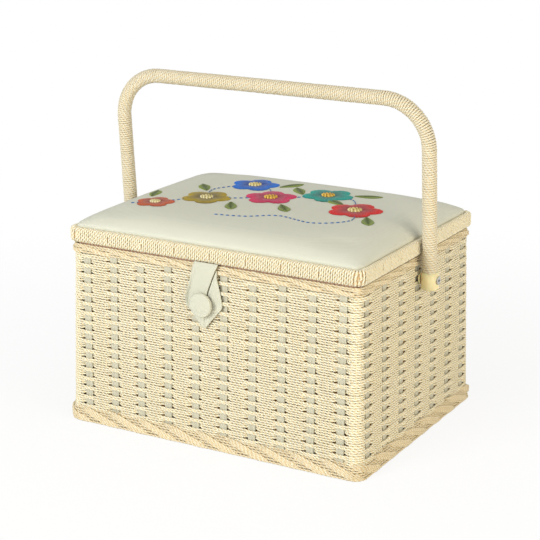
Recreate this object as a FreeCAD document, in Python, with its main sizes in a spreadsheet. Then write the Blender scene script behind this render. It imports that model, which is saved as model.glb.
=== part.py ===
import FreeCAD, Part
import math
import MeshPart
import os
import re
import Sketcher

# A lidded woven sewing box. The origin is the middle of the foot on the table,
# +Z is up, -Y is the front with the clasp, and X runs along the handle's bar.

doc = FreeCAD.newDocument("sewing_box")
sheet = doc.addObject("Spreadsheet::Sheet", "sizes")

# Driving dimensions, in millimetres, degrees or counts.
dimensions = {
    # lid
    "lid_width": 332.0,
    "lid_depth": 262.0,
    "lid_gap": 0.3,
    "rim_height": 16.0,
    "rim_band": 9.0,
    "rim_corner": 11.0,
    "rim_inner_corner": 4.0,
    "rim_bevel": 2.4,
    "winding_thick": 2.0,
    "lid_board_thick": 3.0,
    "lid_lining_thick": 2.4,
    "lid_lining_recess": 0.5,
    "insert_clearance": 0.2,
    "crown_height": 18.0,
    "crown_drop": 2.3,
    "pad_corner": 5.0,
    "cover_thick": 1.0,
    # wall
    "frame_top": 189.5,
    "frame_height": 10.5,
    "frame_width": 8.0,
    "wall_inset_side": 2.25,
    "wall_inset_front": 2.5,
    "wall_flare": 4.5,
    "wall_corner": 9.0,
    "cord_thick": 2.2,
    "stake_thick": 1.0,
    "stake_width": 8.0,
    "weave_slack": 0.65,
    "front_stakes": 10,
    "side_stakes": 7,
    "front_margin": 16.0,
    "side_margin": 14.0,
    "course_count": 33,
    "course_gap": 0.1,
    "seat_clearance": 0.2,
    "foot_border_height": 14.0,
    "foot_border_bulge": 2.6,
    "mouth_border_height": 8.8,
    "mouth_border_step": 1.0,
    "mouth_border_reveal": 1.7,
    "border_bevel": 2.2,
    "board_thick": 4.0,
    "stake_lift": 1.0,
    "lining_thick": 2.0,
    "floor_lining_thick": 2.0,
    "post_radius": 3.2,
    # clasp
    "clasp_offset": -4.0,
    "clasp_top_width": 27.2,
    "clasp_wide": 41.0,
    "clasp_thick": 2.4,
    "clasp_clearance": 0.4,
    "clasp_point": 25.0,
    "clasp_shoulder": 2.0,
    "clasp_tab": 1.4,
    "slit_width": 7.0,
    "slit_top": 30.0,
    "slit_bottom": 11.0,
    "button_drop": 29.8,
    "button_radius": 12.2,
    "button_rim": 2.0,
    "button_dome": 3.0,
    "button_back_thick": 1.0,
    "button_back_inset": 1.2,
    "shank_radius": 2.5,
    "backing_radius": 7.0,
    "backing_thick": 1.2,
    # handle
    "spacer_thick": 1.4,
    "handle_reach": 177.5,
    "handle_corner": 47.0,
    "handle_lean_angle": 4.6,
    "pivot_drop": 12.7,
    "winding_radius": 7.5,
    "core_radius": 4.0,
    "ferrule_radius": 8.8,
    "ferrule_above": 8.2,
    "ferrule_below": 9.8,
    "ferrule_bevel": 1.5,
    "ferrule_seat": 3.4,
    "core_below": 6.0,
    "rivet_radius": 2.5,
    "rivet_bore": 1.3,
    "rivet_head_radius": 4.2,
    "rivet_head_thick": 1.4,
    "running_clearance": 0.05,
    "end_clearance": 0.15,
    "washer_radius": 5.6,
    "inner_washer_radius": 6.5,
    "inner_washer_thick": 1.0,
    # hinges
    "hinge_length": 34.0,
    "hinge_stakes": 3,
    "hinge_thick": 1.2,
    "knuckle_radius": 2.5,
    "knuckle_gap": 0.3,
    "hinge_pin_radius": 1.3,
    "hinge_leaf_height": 12.0,
    "screw_margin": 2.4,
    "screw_radius": 1.2,
    "screw_length": 7.0,
    "screw_head_radius": 2.4,
    "screw_head_thick": 1.0,
}

for line, (alias, value) in enumerate(dimensions.items(), start=1):
    sheet.set(f"A{line}", alias.replace("_", " "))
    sheet.set(f"B{line}", str(value))
    sheet.setAlias(f"B{line}", alias)
doc.recompute()

# Lengths that follow from the driving dimensions.
derived = {
    "rim_bottom": "frame_top + lid_gap",
    "rim_top": "rim_bottom + rim_height",
    "lid_inner_width": "lid_width - 2 * rim_band - 2 * insert_clearance",
    "lid_inner_depth": "lid_depth - 2 * rim_band - 2 * insert_clearance",
    "lid_board_bottom": "rim_bottom + lid_lining_recess + lid_lining_thick",
    "lid_board_top": "lid_board_bottom + lid_board_thick",
    "crown_base": "rim_top - crown_drop",
    "weave_wave": "(cord_thick + stake_thick) / 2 + weave_slack",
    "weave_half": "weave_wave + cord_thick / 2",
    "mid_x": "lid_width / 2 - wall_inset_side - weave_half",
    "mid_y": "lid_depth / 2 - wall_inset_front - weave_half",
    "mouth_border_top": "frame_top - mouth_border_reveal",
    "mouth_border_bottom": "mouth_border_top - mouth_border_height",
    "button_height": "mouth_border_bottom - button_drop",
    "pivot_height": "mouth_border_bottom - pivot_drop",
    "course_pitch": "(mouth_border_bottom - foot_border_height) / course_count",
    "stake_inner": "stake_thick / 2 + seat_clearance",
    "foot_out_x": "mid_x + wall_flare + weave_half + foot_border_bulge",
    "foot_out_y": "mid_y + wall_flare + weave_half + foot_border_bulge",
    "mouth_out_x": "lid_width / 2 - mouth_border_step",
    "mouth_out_y": "lid_depth / 2 - mouth_border_step",
    "frame_bottom": "frame_top - frame_height",
    "lining_out_x": "mid_x - weave_half - seat_clearance",
    "lining_out_y": "mid_y - weave_half - seat_clearance",
    "lining_in_x": "lining_out_x - lining_thick",
    "lining_in_y": "lining_out_y - lining_thick",
    "clasp_back": "mouth_out_y + clasp_clearance",
    "clasp_front": "clasp_back + clasp_thick",
    "clasp_top": "rim_bottom - seat_clearance",
    "button_seat": "clasp_front + clasp_clearance",
    "button_face": "button_seat + button_back_thick",
    "ball_radius": "(button_radius ^ 2 + button_dome ^ 2) / (2 * button_dome)",
    "spacer_foot": "pivot_height - washer_radius - course_pitch",
    "pivot_wall": "mid_x + wall_flare * (1 - spacer_foot / frame_top) + weave_half",
    "handle_leg": "pivot_wall + spacer_thick + end_clearance + ferrule_radius",
    "rivet_head_seat": "handle_leg + ferrule_radius - rivet_head_thick / 2",
    "rivet_inner_seat": "lining_in_x - inner_washer_thick",
    "hole_radius": "rivet_radius + running_clearance",
    "stake_pitch": "2 * (mid_x - front_margin) / (front_stakes - 1)",
    "hinge_spread": "hinge_stakes * stake_pitch",
    "screw_spread": "stake_pitch - stake_width - 2 * screw_margin",
    "hinge_y": "lid_depth / 2 + knuckle_radius + seat_clearance",
    "hinge_z": "frame_top + lid_gap / 2",
    "knuckle_length": "(hinge_length - 2 * knuckle_gap) / 3",
}


def bound(text):
    """The expression with every derived length and sheet name written out."""

    def swap(match):
        word = match.group(0)
        if word in derived:
            return "(" + bound(derived[word]) + ")"
        return "sizes." + word if word in dimensions else word

    return re.sub(r"[a-z_]+", swap, text)


def size(text):
    """The value of an expression in the sheet's names."""
    return float(sheet.evalExpression(bound(text)))


def bind(feature, **expressions):
    """Binds properties; a double underscore stands for a dot."""
    for name, text in expressions.items():
        feature.setExpression(name.replace("__", "."), bound(str(text)))
    return feature


def place(feature, x="0", y="0", z="0", turn=None):
    """Binds the position; turn is (axis, degrees)."""
    if turn:
        axis, degrees = turn
        feature.Placement.Rotation = FreeCAD.Rotation(FreeCAD.Vector(*axis), degrees)
    return bind(feature, Placement__Base__x=x, Placement__Base__y=y, Placement__Base__z=z)


# Primitives and booleans

toX = ((0, 1, 0), 90)
toFront = ((1, 0, 0), 90)


def makeBox(label, length, width, height, x, y, z):
    solid = doc.addObject("Part::Box", label)
    bind(solid, Length=length, Width=width, Height=height)
    return place(solid, x, y, z)


def makeRod(label, radius, height, x, y, z, turn=None):
    solid = doc.addObject("Part::Cylinder", label)
    bind(solid, Radius=radius, Height=height)
    return place(solid, x, y, z, turn)


def acrossWall(label, radius, length, x):
    """A rod along the handle's pivot."""
    return makeRod(label, radius, length, x, "0", "pivot_height", toX)


def throughFront(label, radius, length, y):
    """A rod along the button's shank, towards the front."""
    return makeRod(label, radius, length, "clasp_offset", y, "button_height", toFront)


def fuse(label, *pieces):
    solid = doc.addObject("Part::MultiFuse", label)
    solid.Shapes = list(pieces)
    solid.Refine = True
    return solid


def cut(label, base, tool):
    solid = doc.addObject("Part::Cut", label)
    solid.Base, solid.Tool = base, tool
    return solid


def group(label, *pieces):
    solids = doc.addObject("Part::Compound", label)
    solids.Links = list(pieces)
    return solids


def mirrored(label, source):
    """The same piece on the other side of the box's middle plane."""
    twin = doc.addObject("Part::Mirroring", label)
    twin.Source, twin.Normal, twin.Base = source, (1, 0, 0), (0, 0, 0)
    return twin


def pairOf(label, right):
    return group(label, right, mirrored(label + "_left", right))


def solidPiece(label, shape):
    piece = doc.addObject("Part::Feature", label)
    piece.Shape = shape
    return piece


# Sketched features


def sketchOn(body, name, plane, lift):
    sketch = body.newObject("Sketcher::SketchObject", name)
    support = next(f for f in body.Origin.OriginFeatures if f.Role == plane)
    sketch.AttachmentSupport = [(support, "")]
    sketch.MapMode = "FlatFace"
    return bind(sketch, AttachmentOffset__Base__z=lift)


def hold(sketch, name, text, *definition):
    """Adds a named dimension bound to the sheet."""
    value = size(text)
    sketch.addConstraint(Sketcher.Constraint(*definition, value))
    sketch.renameConstraint(sketch.ConstraintCount - 1, name)
    sketch.setExpression("Constraints." + name, bound(text))


def addRoundedRectangle(sketch, tag, width, depth, corner):
    """A rectangle with round corners about the sketch's origin."""
    radius = size(corner)
    acrossX, acrossY = size(width) / 2 - radius, size(depth) / 2 - radius
    first = sketch.GeometryCount
    signs = ((1, 1), (-1, 1), (-1, -1), (1, -1))
    arcs = []
    for quarter, (toRight, toBack) in enumerate(signs):
        centre = FreeCAD.Vector(toRight * acrossX, toBack * acrossY, 0)
        circle = Part.Circle(centre, FreeCAD.Vector(0, 0, 1), radius)
        start = quarter * math.pi / 2
        arcs.append(Part.ArcOfCircle(circle, start, start + math.pi / 2))
    for arc in arcs:
        sketch.addGeometry(arc)
    for quarter in range(4):
        nextArc = arcs[(quarter + 1) % 4]
        sketch.addGeometry(Part.LineSegment(arcs[quarter].EndPoint, nextArc.StartPoint))
    for quarter in range(4):
        line, after = first + 4 + quarter, first + (quarter + 1) % 4
        sketch.addConstraint(Sketcher.Constraint("Tangent", first + quarter, 2, line, 1))
        sketch.addConstraint(Sketcher.Constraint("Tangent", line, 2, after, 1))
        sketch.addConstraint(Sketcher.Constraint("Vertical" if quarter % 2 else "Horizontal", line))
        if quarter:
            sketch.addConstraint(Sketcher.Constraint("Equal", first, first + quarter))
    sketch.addConstraint(Sketcher.Constraint("Symmetric", first, 3, first + 2, 3, -1, 1))
    hold(sketch, tag + "Corner", corner, "Radius", first)
    hold(sketch, tag + "Width", f"({width}) - 2 * ({corner})", "DistanceX", first + 1, 3, first, 3)
    hold(sketch, tag + "Depth", f"({depth}) - 2 * ({corner})", "DistanceY", first + 3, 3, first, 3)


def addCircle(sketch, radius, x="0", y="0"):
    centre = FreeCAD.Vector(size(x), size(y), 0)
    index = sketch.addGeometry(Part.Circle(centre, FreeCAD.Vector(0, 0, 1), size(radius)))
    hold(sketch, f"radius{index}", radius, "Radius", index)
    hold(sketch, f"acrossX{index}", x, "DistanceX", -1, 1, index, 3)
    hold(sketch, f"acrossY{index}", y, "DistanceY", -1, 1, index, 3)


def addOutline(sketch, tag, corners):
    """A closed outline of straight lines through named points, each held to the origin."""
    first = sketch.GeometryCount
    points = [FreeCAD.Vector(size(x), size(y), 0) for x, y in corners]
    for index, point in enumerate(points):
        sketch.addGeometry(Part.LineSegment(point, points[(index + 1) % len(points)]))
    for index, (x, y) in enumerate(corners):
        line, after = first + index, first + (index + 1) % len(corners)
        sketch.addConstraint(Sketcher.Constraint("Coincident", line, 2, after, 1))
        hold(sketch, f"{tag}X{index}", x, "DistanceX", -1, 1, line, 1)
        hold(sketch, f"{tag}Y{index}", y, "DistanceY", -1, 1, line, 1)


def pad(body, sketch, height):
    feature = body.newObject("PartDesign::Pad", "Pad")
    feature.Profile = sketch
    bind(feature, Length=height)
    sketch.Visibility = False
    return feature


def pocket(body, sketch, depth, upwards=False, bothWays=False):
    feature = body.newObject("PartDesign::Pocket", "Pocket")
    feature.Profile = sketch
    feature.Reversed = upwards
    if bothWays:
        feature.Midplane = True
    bind(feature, Length=depth)
    return feature


def isLevel(edge, levels):
    box = edge.BoundBox
    return box.ZLength < 0.01 and min(abs(box.ZMin - level) for level in levels) < 0.01


def isBeyond(edge, acrossX, acrossY):
    """Whether an edge lies outside a rectangle of these half sizes."""
    box = edge.BoundBox
    reachX = max(abs(box.XMin), abs(box.XMax))
    reachY = max(abs(box.YMin), abs(box.YMax))
    return reachX > acrossX or reachY > acrossY


def soften(body, amount, chosen):
    """Bevels the edges of the body's last feature that chosen picks."""
    doc.recompute()
    base = body.Tip
    names = [f"Edge{i}" for i, edge in enumerate(base.Shape.Edges, start=1) if chosen(edge)]
    feature = body.newObject("PartDesign::Chamfer", "Bevel")
    feature.Base = (base, names)
    return bind(feature, Size=amount)


def ringBody(label, outer, inner, bottom, height):
    """A slab with rounded corners, hollow where an inner outline is given."""
    body = doc.addObject("PartDesign::Body", label)
    sketch = sketchOn(body, label + "Outline", "XY_Plane", bottom)
    addRoundedRectangle(sketch, "outer", *outer)
    if inner:
        addRoundedRectangle(sketch, "inner", *inner)
    pad(body, sketch, height)
    return body


# Wall: stakes and weft


def wallHalf(height):
    """Half width and half depth of the wall's middle surface at a height."""
    spread = size("wall_flare") * (1 - height / size("frame_top"))
    return size("mid_x") + spread, size("mid_y") + spread


def stakePlaces(quarter):
    """Places along one side, counted anticlockwise from the front, at the frame's height."""
    alongFront = quarter % 2 == 0
    number = round(size("front_stakes" if alongFront else "side_stakes"))
    reach = size("mid_x - front_margin" if alongFront else "mid_y - side_margin")
    return [reach * (2 * index / (number - 1) - 1) for index in range(number)]


def wovenCourse(bottom, phase):
    """A weft course: a band that passes in front of every second stake and behind the rest."""
    thick, wave, radius = size("cord_thick"), size("weave_wave"), size("wall_corner")
    halves = wallHalf(bottom)
    outer, inner = [], []
    count = phase

    def addPoint(turn, x, y, outward, shift):
        for wires, side in ((outer, 0.5), (inner, -0.5)):
            move = shift + side * thick
            point = FreeCAD.Vector(x + outward[0] * move, y + outward[1] * move, bottom)
            wires.append(turn.multVec(point))

    for quarter in range(4):
        turn = FreeCAD.Rotation(FreeCAD.Vector(0, 0, 1), 90 * quarter)
        along, away = halves if quarter % 2 == 0 else halves[::-1]
        for spot in stakePlaces(quarter):
            side = 1 if count % 2 == 0 else -1
            addPoint(turn, spot, -away, (0, -1), side * wave)
            count += 1
        for degrees, share in ((-70, 0.6), (-20, -0.6)):
            angle = math.radians(degrees)
            outward = (math.cos(angle), math.sin(angle))
            x = along - radius + radius * outward[0]
            y = -away + radius + radius * outward[1]
            addPoint(turn, x, y, outward, side * share * wave)
    inner.reverse()
    rings = [Part.Wire(Part.makePolygon(points + points[:1])) for points in (outer, inner)]
    height = size("course_pitch - course_gap")
    return Part.Face(rings).extrude(FreeCAD.Vector(0, 0, height))


def fixingHoles():
    """Rods that clear the handle's rivets and the button's shank through the wall."""
    reach = size("lid_width")
    rivetHole = Part.makeCylinder(
        size("hole_radius"),
        reach,
        FreeCAD.Vector(-reach / 2, 0, size("pivot_height")),
        FreeCAD.Vector(1, 0, 0),
    )
    shankHole = Part.makeCylinder(
        size("shank_radius + running_clearance"),
        size("lid_depth") / 2,
        FreeCAD.Vector(size("clasp_offset"), 0, size("button_height")),
        FreeCAD.Vector(0, -1, 0),
    )
    return [rivetHole, shankHole]


def makeWeft():
    pitch, start = size("course_pitch"), size("foot_border_height + course_gap / 2")
    courses = [
        wovenCourse(start + pitch * number, number % 2)
        for number in range(round(size("course_count")))
    ]
    holes = fixingHoles()
    drilled = [
        course.cut(holes) if any(course.common(hole).Volume > 0.01 for hole in holes) else course
        for course in courses
    ]
    return solidPiece("weft_courses", Part.makeCompound(drilled))


def makeStakes():
    foot, top = size("stake_lift"), size("mouth_border_top")
    tilt = math.degrees(math.atan2(size("wall_flare"), size("frame_top")))
    width, thick = size("stake_width"), size("stake_thick")
    blank = Part.makeBox(width, thick, top - foot, FreeCAD.Vector(-width / 2, -thick / 2, 0))
    lean = FreeCAD.Rotation(FreeCAD.Vector(1, 0, 0), -tilt)
    rivetHole = fixingHoles()[0]
    stakes = []
    for quarter in range(4):
        turn = FreeCAD.Rotation(FreeCAD.Vector(0, 0, 1), 90 * quarter)
        away = wallHalf(foot)[1 - quarter % 2]
        for along in stakePlaces(quarter):
            stake = blank.copy()
            spot = turn.multVec(FreeCAD.Vector(along, -away, foot))
            stake.Placement = FreeCAD.Placement(spot, turn.multiply(lean))
            if quarter % 2 and stake.common(rivetHole).Volume > 0.01:
                stake = stake.cut(rivetHole)
            stakes.append(stake)
    return solidPiece("wall_stakes", Part.makeCompound(stakes))


# Wall: borders, frame, base and linings


def makeBorder(label, half, inside, corner, bottom, height):
    """A plaited border as a plump band round the outside of the stakes."""
    outer = (f"2 * ({half[0]})", f"2 * ({half[1]})", corner)
    inner = (f"2 * ({inside[0]})", f"2 * ({inside[1]})", "wall_corner")
    body = ringBody(label, outer, inner, bottom, height)
    middleX = (size(half[0]) + size(inside[0])) / 2
    middleY = (size(half[1]) + size(inside[1])) / 2
    levels = [size(bottom), size(f"{bottom} + {height}")]
    soften(
        body,
        "border_bevel",
        lambda edge: isLevel(edge, levels) and isBeyond(edge, middleX, middleY),
    )
    return body


def makeFootBorder():
    half = ("foot_out_x", "foot_out_y")
    inside = ("mid_x + wall_flare + stake_inner", "mid_y + wall_flare + stake_inner")
    corner = "wall_corner + weave_half + foot_border_bulge"
    return makeBorder("foot_border", half, inside, corner, "0", "foot_border_height")


def makeMouthBorder():
    half = ("mouth_out_x", "mouth_out_y")
    share = "wall_flare * (1 - mouth_border_bottom / frame_top)"
    inside = (f"mid_x + stake_inner + {share}", f"mid_y + stake_inner + {share}")
    return makeBorder(
        "mouth_border", half, inside, "rim_corner", "mouth_border_bottom", "mouth_border_height"
    )


def makeFrame():
    outer = ("2 * (mid_x - stake_inner)", "2 * (mid_y - stake_inner)", "wall_corner")
    inner = (
        "2 * (mid_x - stake_inner - frame_width)",
        "2 * (mid_y - stake_inner - frame_width)",
        "wall_corner / 2",
    )
    return ringBody("mouth_frame", outer, inner, "frame_bottom", "frame_height")


def makeBaseBoard():
    share = "wall_flare * (1 - board_thick / frame_top)"
    outer = (
        f"2 * (mid_x + {share} - stake_inner)",
        f"2 * (mid_y + {share} - stake_inner)",
        "wall_corner",
    )
    return ringBody("base_board", outer, None, "0", "board_thick")


def postRods(tag, radius, height):
    rods = []
    for name, signX, signY in (("a", "", ""), ("b", "-", ""), ("c", "", "-"), ("d", "-", "-")):
        x, y = f"{signX}(mid_x - wall_corner)", f"{signY}(mid_y - wall_corner)"
        rods.append(makeRod(f"{tag}_{name}", radius, height, x, y, "board_thick"))
    return rods


def makePosts():
    return group("corner_posts", *postRods("post", "post_radius", "frame_bottom - board_thick"))


def makeWallLining():
    height = "frame_bottom - board_thick"
    longWay = "2 * (mid_x - wall_corner)"
    shortWay = "2 * (mid_y - wall_corner)"
    toLeft, toFrontEnd = "-(mid_x - wall_corner)", "-(mid_y - wall_corner)"
    thick, foot = "lining_thick", "board_thick"
    front = makeBox("front_panel", longWay, thick, height, toLeft, "-lining_out_y", foot)
    back = makeBox("back_panel", longWay, thick, height, toLeft, "lining_in_y", foot)
    left = makeBox("left_panel", thick, shortWay, height, "-lining_out_x", toFrontEnd, foot)
    right = makeBox("right_panel", thick, shortWay, height, "lining_in_x", toFrontEnd, foot)
    rivetHole = acrossWall("lining_rivet_hole", "hole_radius", "lid_width", "-lid_width / 2")
    shankHole = throughFront("lining_shank_hole", "shank_radius + running_clearance", "lid_depth / 2", "0")
    return group(
        "wall_lining",
        cut("front_lining", front, shankHole),
        back,
        cut("left_lining", left, rivetHole),
        cut("right_lining", right, rivetHole),
    )


def makeFloorLining():
    """A padded cloth on the base board, notched round the four posts."""
    outer = (
        "2 * (lining_in_x - insert_clearance)",
        "2 * (lining_in_y - insert_clearance)",
        "wall_corner + post_radius",
    )
    sheetBody = ringBody("floor_cloth", outer, None, "board_thick", "floor_lining_thick")
    notches = postRods("floor_notch", "post_radius + insert_clearance", "2 * floor_lining_thick")
    return cut("floor_lining", sheetBody, fuse("floor_notches", *notches))


# Lid


def rimOuter():
    return ("lid_width", "lid_depth", "rim_corner")


def makeLidFrame():
    outer = ("lid_width - 2 * winding_thick", "lid_depth - 2 * winding_thick", "rim_corner - winding_thick")
    inner = (
        "lid_width - 2 * rim_band + 2 * winding_thick",
        "lid_depth - 2 * rim_band + 2 * winding_thick",
        "rim_inner_corner + winding_thick",
    )
    height = "rim_height - 2 * winding_thick"
    return ringBody("lid_frame", outer, inner, "rim_bottom + winding_thick", height)


def makeRimWinding(lidFrame):
    """The cord wound round the lid's frame, as one plump band with the frame's space inside it."""
    inner = ("lid_width - 2 * rim_band", "lid_depth - 2 * rim_band", "rim_inner_corner")
    band = ringBody("rim_band", rimOuter(), inner, "rim_bottom", "rim_height")
    middleX, middleY = size("(lid_width - rim_band) / 2"), size("(lid_depth - rim_band) / 2")
    levels = [size("rim_bottom"), size("rim_top")]
    soften(
        band,
        "rim_bevel",
        lambda edge: isLevel(edge, levels) and isBeyond(edge, middleX, middleY),
    )
    return cut("rim_winding", band, lidFrame)


def makeLidBoard():
    outer = ("lid_inner_width", "lid_inner_depth", "rim_inner_corner")
    return ringBody("lid_board", outer, None, "lid_board_bottom", "lid_board_thick")


def makeLidLining():
    outer = ("lid_inner_width", "lid_inner_depth", "rim_inner_corner")
    return ringBody("lid_lining", outer, None, "rim_bottom + lid_lining_recess", "lid_lining_thick")


crownTurns = (0, 14, 38, 62, 80)


def crownSections(body, tag, shrink):
    """Outlines of the crowned pad: upright sides that roll over into a flat top."""
    width, depth = f"lid_inner_width - 2 * ({shrink})", f"lid_inner_depth - 2 * ({shrink})"
    foot = sketchOn(body, tag + "Foot", "XY_Plane", "lid_board_top")
    addRoundedRectangle(foot, "outer", width, depth, "pad_corner")
    sections = [foot]
    for number, degrees in enumerate(crownTurns):
        angle = math.radians(degrees)
        inset = f"(lid_inner_depth / 2) * {1 - math.cos(angle) ** (1 / 3):.4f}"
        rise = f"crown_base + crown_height * {math.sin(angle) ** 0.6:.4f} - ({shrink})"
        sketch = sketchOn(body, f"{tag}Section{number}", "XY_Plane", rise)
        corner = f"pad_corner + 0.12 * {inset}"
        across, deep = f"{width} - 2 * {inset}", f"{depth} - 2 * {inset}"
        addRoundedRectangle(sketch, "outer", across, deep, corner)
        sections.append(sketch)
    return sections


def loft(body, kind, sections):
    feature = body.newObject("PartDesign::" + kind, "Crown")
    feature.Profile = sections[0]
    feature.Sections = sections[1:]
    feature.Ruled = True
    return feature


def makePad():
    body = doc.addObject("PartDesign::Body", "lid_pad")
    loft(body, "AdditiveLoft", crownSections(body, "pad", "cover_thick"))
    return body


def makeCover():
    body = doc.addObject("PartDesign::Body", "lid_cover")
    loft(body, "AdditiveLoft", crownSections(body, "cover", "0"))
    loft(body, "SubtractiveLoft", crownSections(body, "hollow", "cover_thick"))
    return body


# Clasp and button


def makeClasp():
    """A cloth strap folded to a point, hanging from under the lid's rim, slit for the button."""
    body = doc.addObject("PartDesign::Body", "clasp_loop")
    face = sketchOn(body, "claspOutline", "XZ_Plane", "clasp_back")
    topZ, wideZ = "clasp_top", "button_height + clasp_shoulder"
    lowZ = "button_height - clasp_point"
    addOutline(
        face,
        "edge",
        [
            ("clasp_offset - clasp_top_width / 2", topZ),
            ("clasp_offset - clasp_wide / 2", wideZ),
            ("clasp_offset", lowZ),
            ("clasp_offset + clasp_wide / 2", f"{wideZ} - 2 * clasp_shoulder"),
            ("clasp_offset + clasp_top_width / 2", topZ),
        ],
    )
    addOutline(
        face,
        "slit",
        [
            ("clasp_offset - slit_width / 2", "button_height"),
            ("clasp_offset", "button_height - slit_bottom"),
            ("clasp_offset + slit_width / 2", "button_height"),
            ("clasp_offset + slit_width / 2", "button_height + slit_top"),
        ],
    )
    pad(body, face, "clasp_thick")
    tab = sketchOn(body, "claspTab", "XY_Plane", "clasp_top - clasp_tab")
    inner, outer = "-(mid_y + stake_thick)", "-clasp_front"
    left, right = "clasp_offset - clasp_top_width / 2", "clasp_offset + clasp_top_width / 2"
    addOutline(tab, "tab", [(left, inner), (left, outer), (right, outer), (right, inner)])
    pad(body, tab, "clasp_tab")
    return body


def makeButton():
    ball = doc.addObject("Part::Sphere", "button_ball")
    bind(ball, Radius="ball_radius")
    dome = "button_face + button_rim + button_dome - ball_radius"
    place(ball, "clasp_offset", f"-({dome})", "button_height")
    drum = throughFront("button_drum", "button_radius", "button_rim + button_dome", "-button_face")
    cap = doc.addObject("Part::Common", "button_cap")
    cap.Base, cap.Tool = drum, ball
    inset = "button_radius - button_back_inset"
    back = throughFront("button_back", inset, "button_back_thick", "-button_seat")
    inside = "lining_in_y - backing_thick"
    shank = throughFront("button_shank", "shank_radius", f"button_seat - ({inside})", f"-({inside})")
    disc = throughFront("backing_blank", "backing_radius", "backing_thick", f"-({inside})")
    return [cap, back, shank, cut("button_backing", disc, shank)]


# Handle


bendSteps = 6


def leaned(feature):
    """Stands a handle piece on its pivot, tipped a little towards the front as it comes to rest."""
    feature.Placement.Rotation = FreeCAD.Rotation(FreeCAD.Vector(1, 0, 0), 10)
    bind(feature, Placement__Base__z="pivot_height")
    feature.setExpression("Placement.Rotation.Angle", "sizes.handle_lean_angle * 1 deg")
    return feature


def hoop(label, radius, foot):
    """Two legs, two bends and a bar of one rod about the pivot, through rings across its middle line."""
    straight, rise = "(handle_leg - handle_corner)", "(handle_reach - handle_corner)"
    stations = [("handle_leg", foot, 0)]
    for step in range(bendSteps + 1):
        degrees = 90 * step / bendSteps
        across = f"{straight} + handle_corner * {math.cos(math.radians(degrees)):.6f}"
        up = f"{rise} + handle_corner * {math.sin(math.radians(degrees)):.6f}"
        stations.append((across, up, degrees))
    stations += [(f"-({across})", up, 180 - degrees) for across, up, degrees in stations[::-1]]
    rings = []
    for number, (across, up, degrees) in enumerate(stations):
        ring = doc.addObject("Part::Circle", f"{label}_ring_{number}")
        bind(ring, Radius=radius)
        rings.append(place(ring, across, "0", up, ((0, 1, 0), -degrees)))
    rod = doc.addObject("Part::Loft", label)
    rod.Sections = rings
    rod.Solid, rod.Ruled = True, True
    return rod


def makeHandle():
    rod = hoop("handle_rod", "core_radius", "-core_below")
    sleeve = hoop("handle_sleeve", "winding_radius", "ferrule_above - ferrule_seat")
    winding = leaned(cut("handle_winding", sleeve, rod))
    crossHole = makeRod("core_cross_hole", "hole_radius", "2 * lid_width", "-lid_width", "0", "0", toX)
    core = leaned(cut("handle_core", rod, crossHole))
    return [winding, core]


def makeFerrule():
    """A moulded cap over one end of the handle, bored across for its rivet."""
    body = doc.addObject("PartDesign::Body", "ferrule_cap")
    drum = sketchOn(body, "ferruleDrum", "XY_Plane", "-ferrule_below")
    addCircle(drum, "ferrule_radius", "handle_leg")
    pad(body, drum, "ferrule_below + ferrule_above")
    soften(body, "ferrule_bevel", lambda edge: edge.BoundBox.ZLength < 0.01)
    seat = sketchOn(body, "ferruleSeat", "XY_Plane", "ferrule_above")
    addCircle(seat, "winding_radius", "handle_leg")
    pocket(body, seat, "ferrule_seat")
    bore = sketchOn(body, "ferruleBore", "XY_Plane", "ferrule_above")
    addCircle(bore, "core_radius", "handle_leg")
    pocket(body, bore, "ferrule_above + core_below")
    across = sketchOn(body, "ferruleCross", "YZ_Plane", "handle_leg")
    addCircle(across, "hole_radius")
    pocket(body, across, "3 * ferrule_radius", bothWays=True)
    spot = sketchOn(body, "ferruleSpot", "YZ_Plane", "rivet_head_seat - end_clearance")
    addCircle(spot, "rivet_head_radius + running_clearance * 4")
    pocket(body, spot, "ferrule_radius", upwards=True)
    return body


def makeFerrules():
    right = makeFerrule()
    return leaned(group("handle_ferrules", right, mirrored("left_ferrule_cap", right)))


def makeRivets():
    """Tubular rivets through wall and ferrule, with a spacer outside the wall and a washer inside."""
    clench = "rivet_inner_seat - rivet_head_thick"
    shank = acrossWall("rivet_tube", "rivet_radius", f"rivet_head_seat - ({clench})", clench)
    head = acrossWall("rivet_head", "rivet_head_radius", "rivet_head_thick", "rivet_head_seat")
    roll = acrossWall("rivet_roll", "rivet_head_radius", "rivet_head_thick", clench)
    bore = acrossWall("rivet_hollow", "rivet_bore", "lid_width", "0")
    rivet = cut("right_rivet", fuse("rivet_blank", shank, head, roll), bore)
    hole = acrossWall("washer_hole", "hole_radius", "lid_width", "0")
    collar = acrossWall("spacer_blank", "washer_radius", "spacer_thick", "pivot_wall")
    disc = acrossWall("washer_blank", "inner_washer_radius", "inner_washer_thick", "rivet_inner_seat")
    rivets = pairOf("handle_rivets", rivet)
    spacers = pairOf("handle_spacers", cut("right_spacer", collar, hole))
    washers = pairOf("inner_washers", cut("right_washer", disc, hole))
    return [rivets, spacers, washers]


# Hinges


def hingeBox(label, length, depth, height, start, back, bottom):
    return makeBox(label, length, depth, height, f"hinge_spread - hinge_length / 2 + {start}", back, bottom)


def knuckle(label, start, length):
    along = f"hinge_spread - hinge_length / 2 + {start}"
    return makeRod(label, "knuckle_radius", length, along, "hinge_y", "hinge_z", toX)


def makeLidLeaf():
    middle, back = "knuckle_length + knuckle_gap", "lid_depth / 2"
    neckFoot = "hinge_z + knuckle_radius * 0.4"
    plateFoot = f"{neckFoot} + knuckle_radius"
    return fuse(
        "lid_leaf_blank",
        hingeBox("lid_plate", "hinge_length", "hinge_thick", "hinge_leaf_height", "0", back, plateFoot),
        hingeBox("lid_neck", "knuckle_length", "hinge_thick", "knuckle_radius + 0.1", middle, back, neckFoot),
        knuckle("lid_knuckle", middle, "knuckle_length"),
    )


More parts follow.
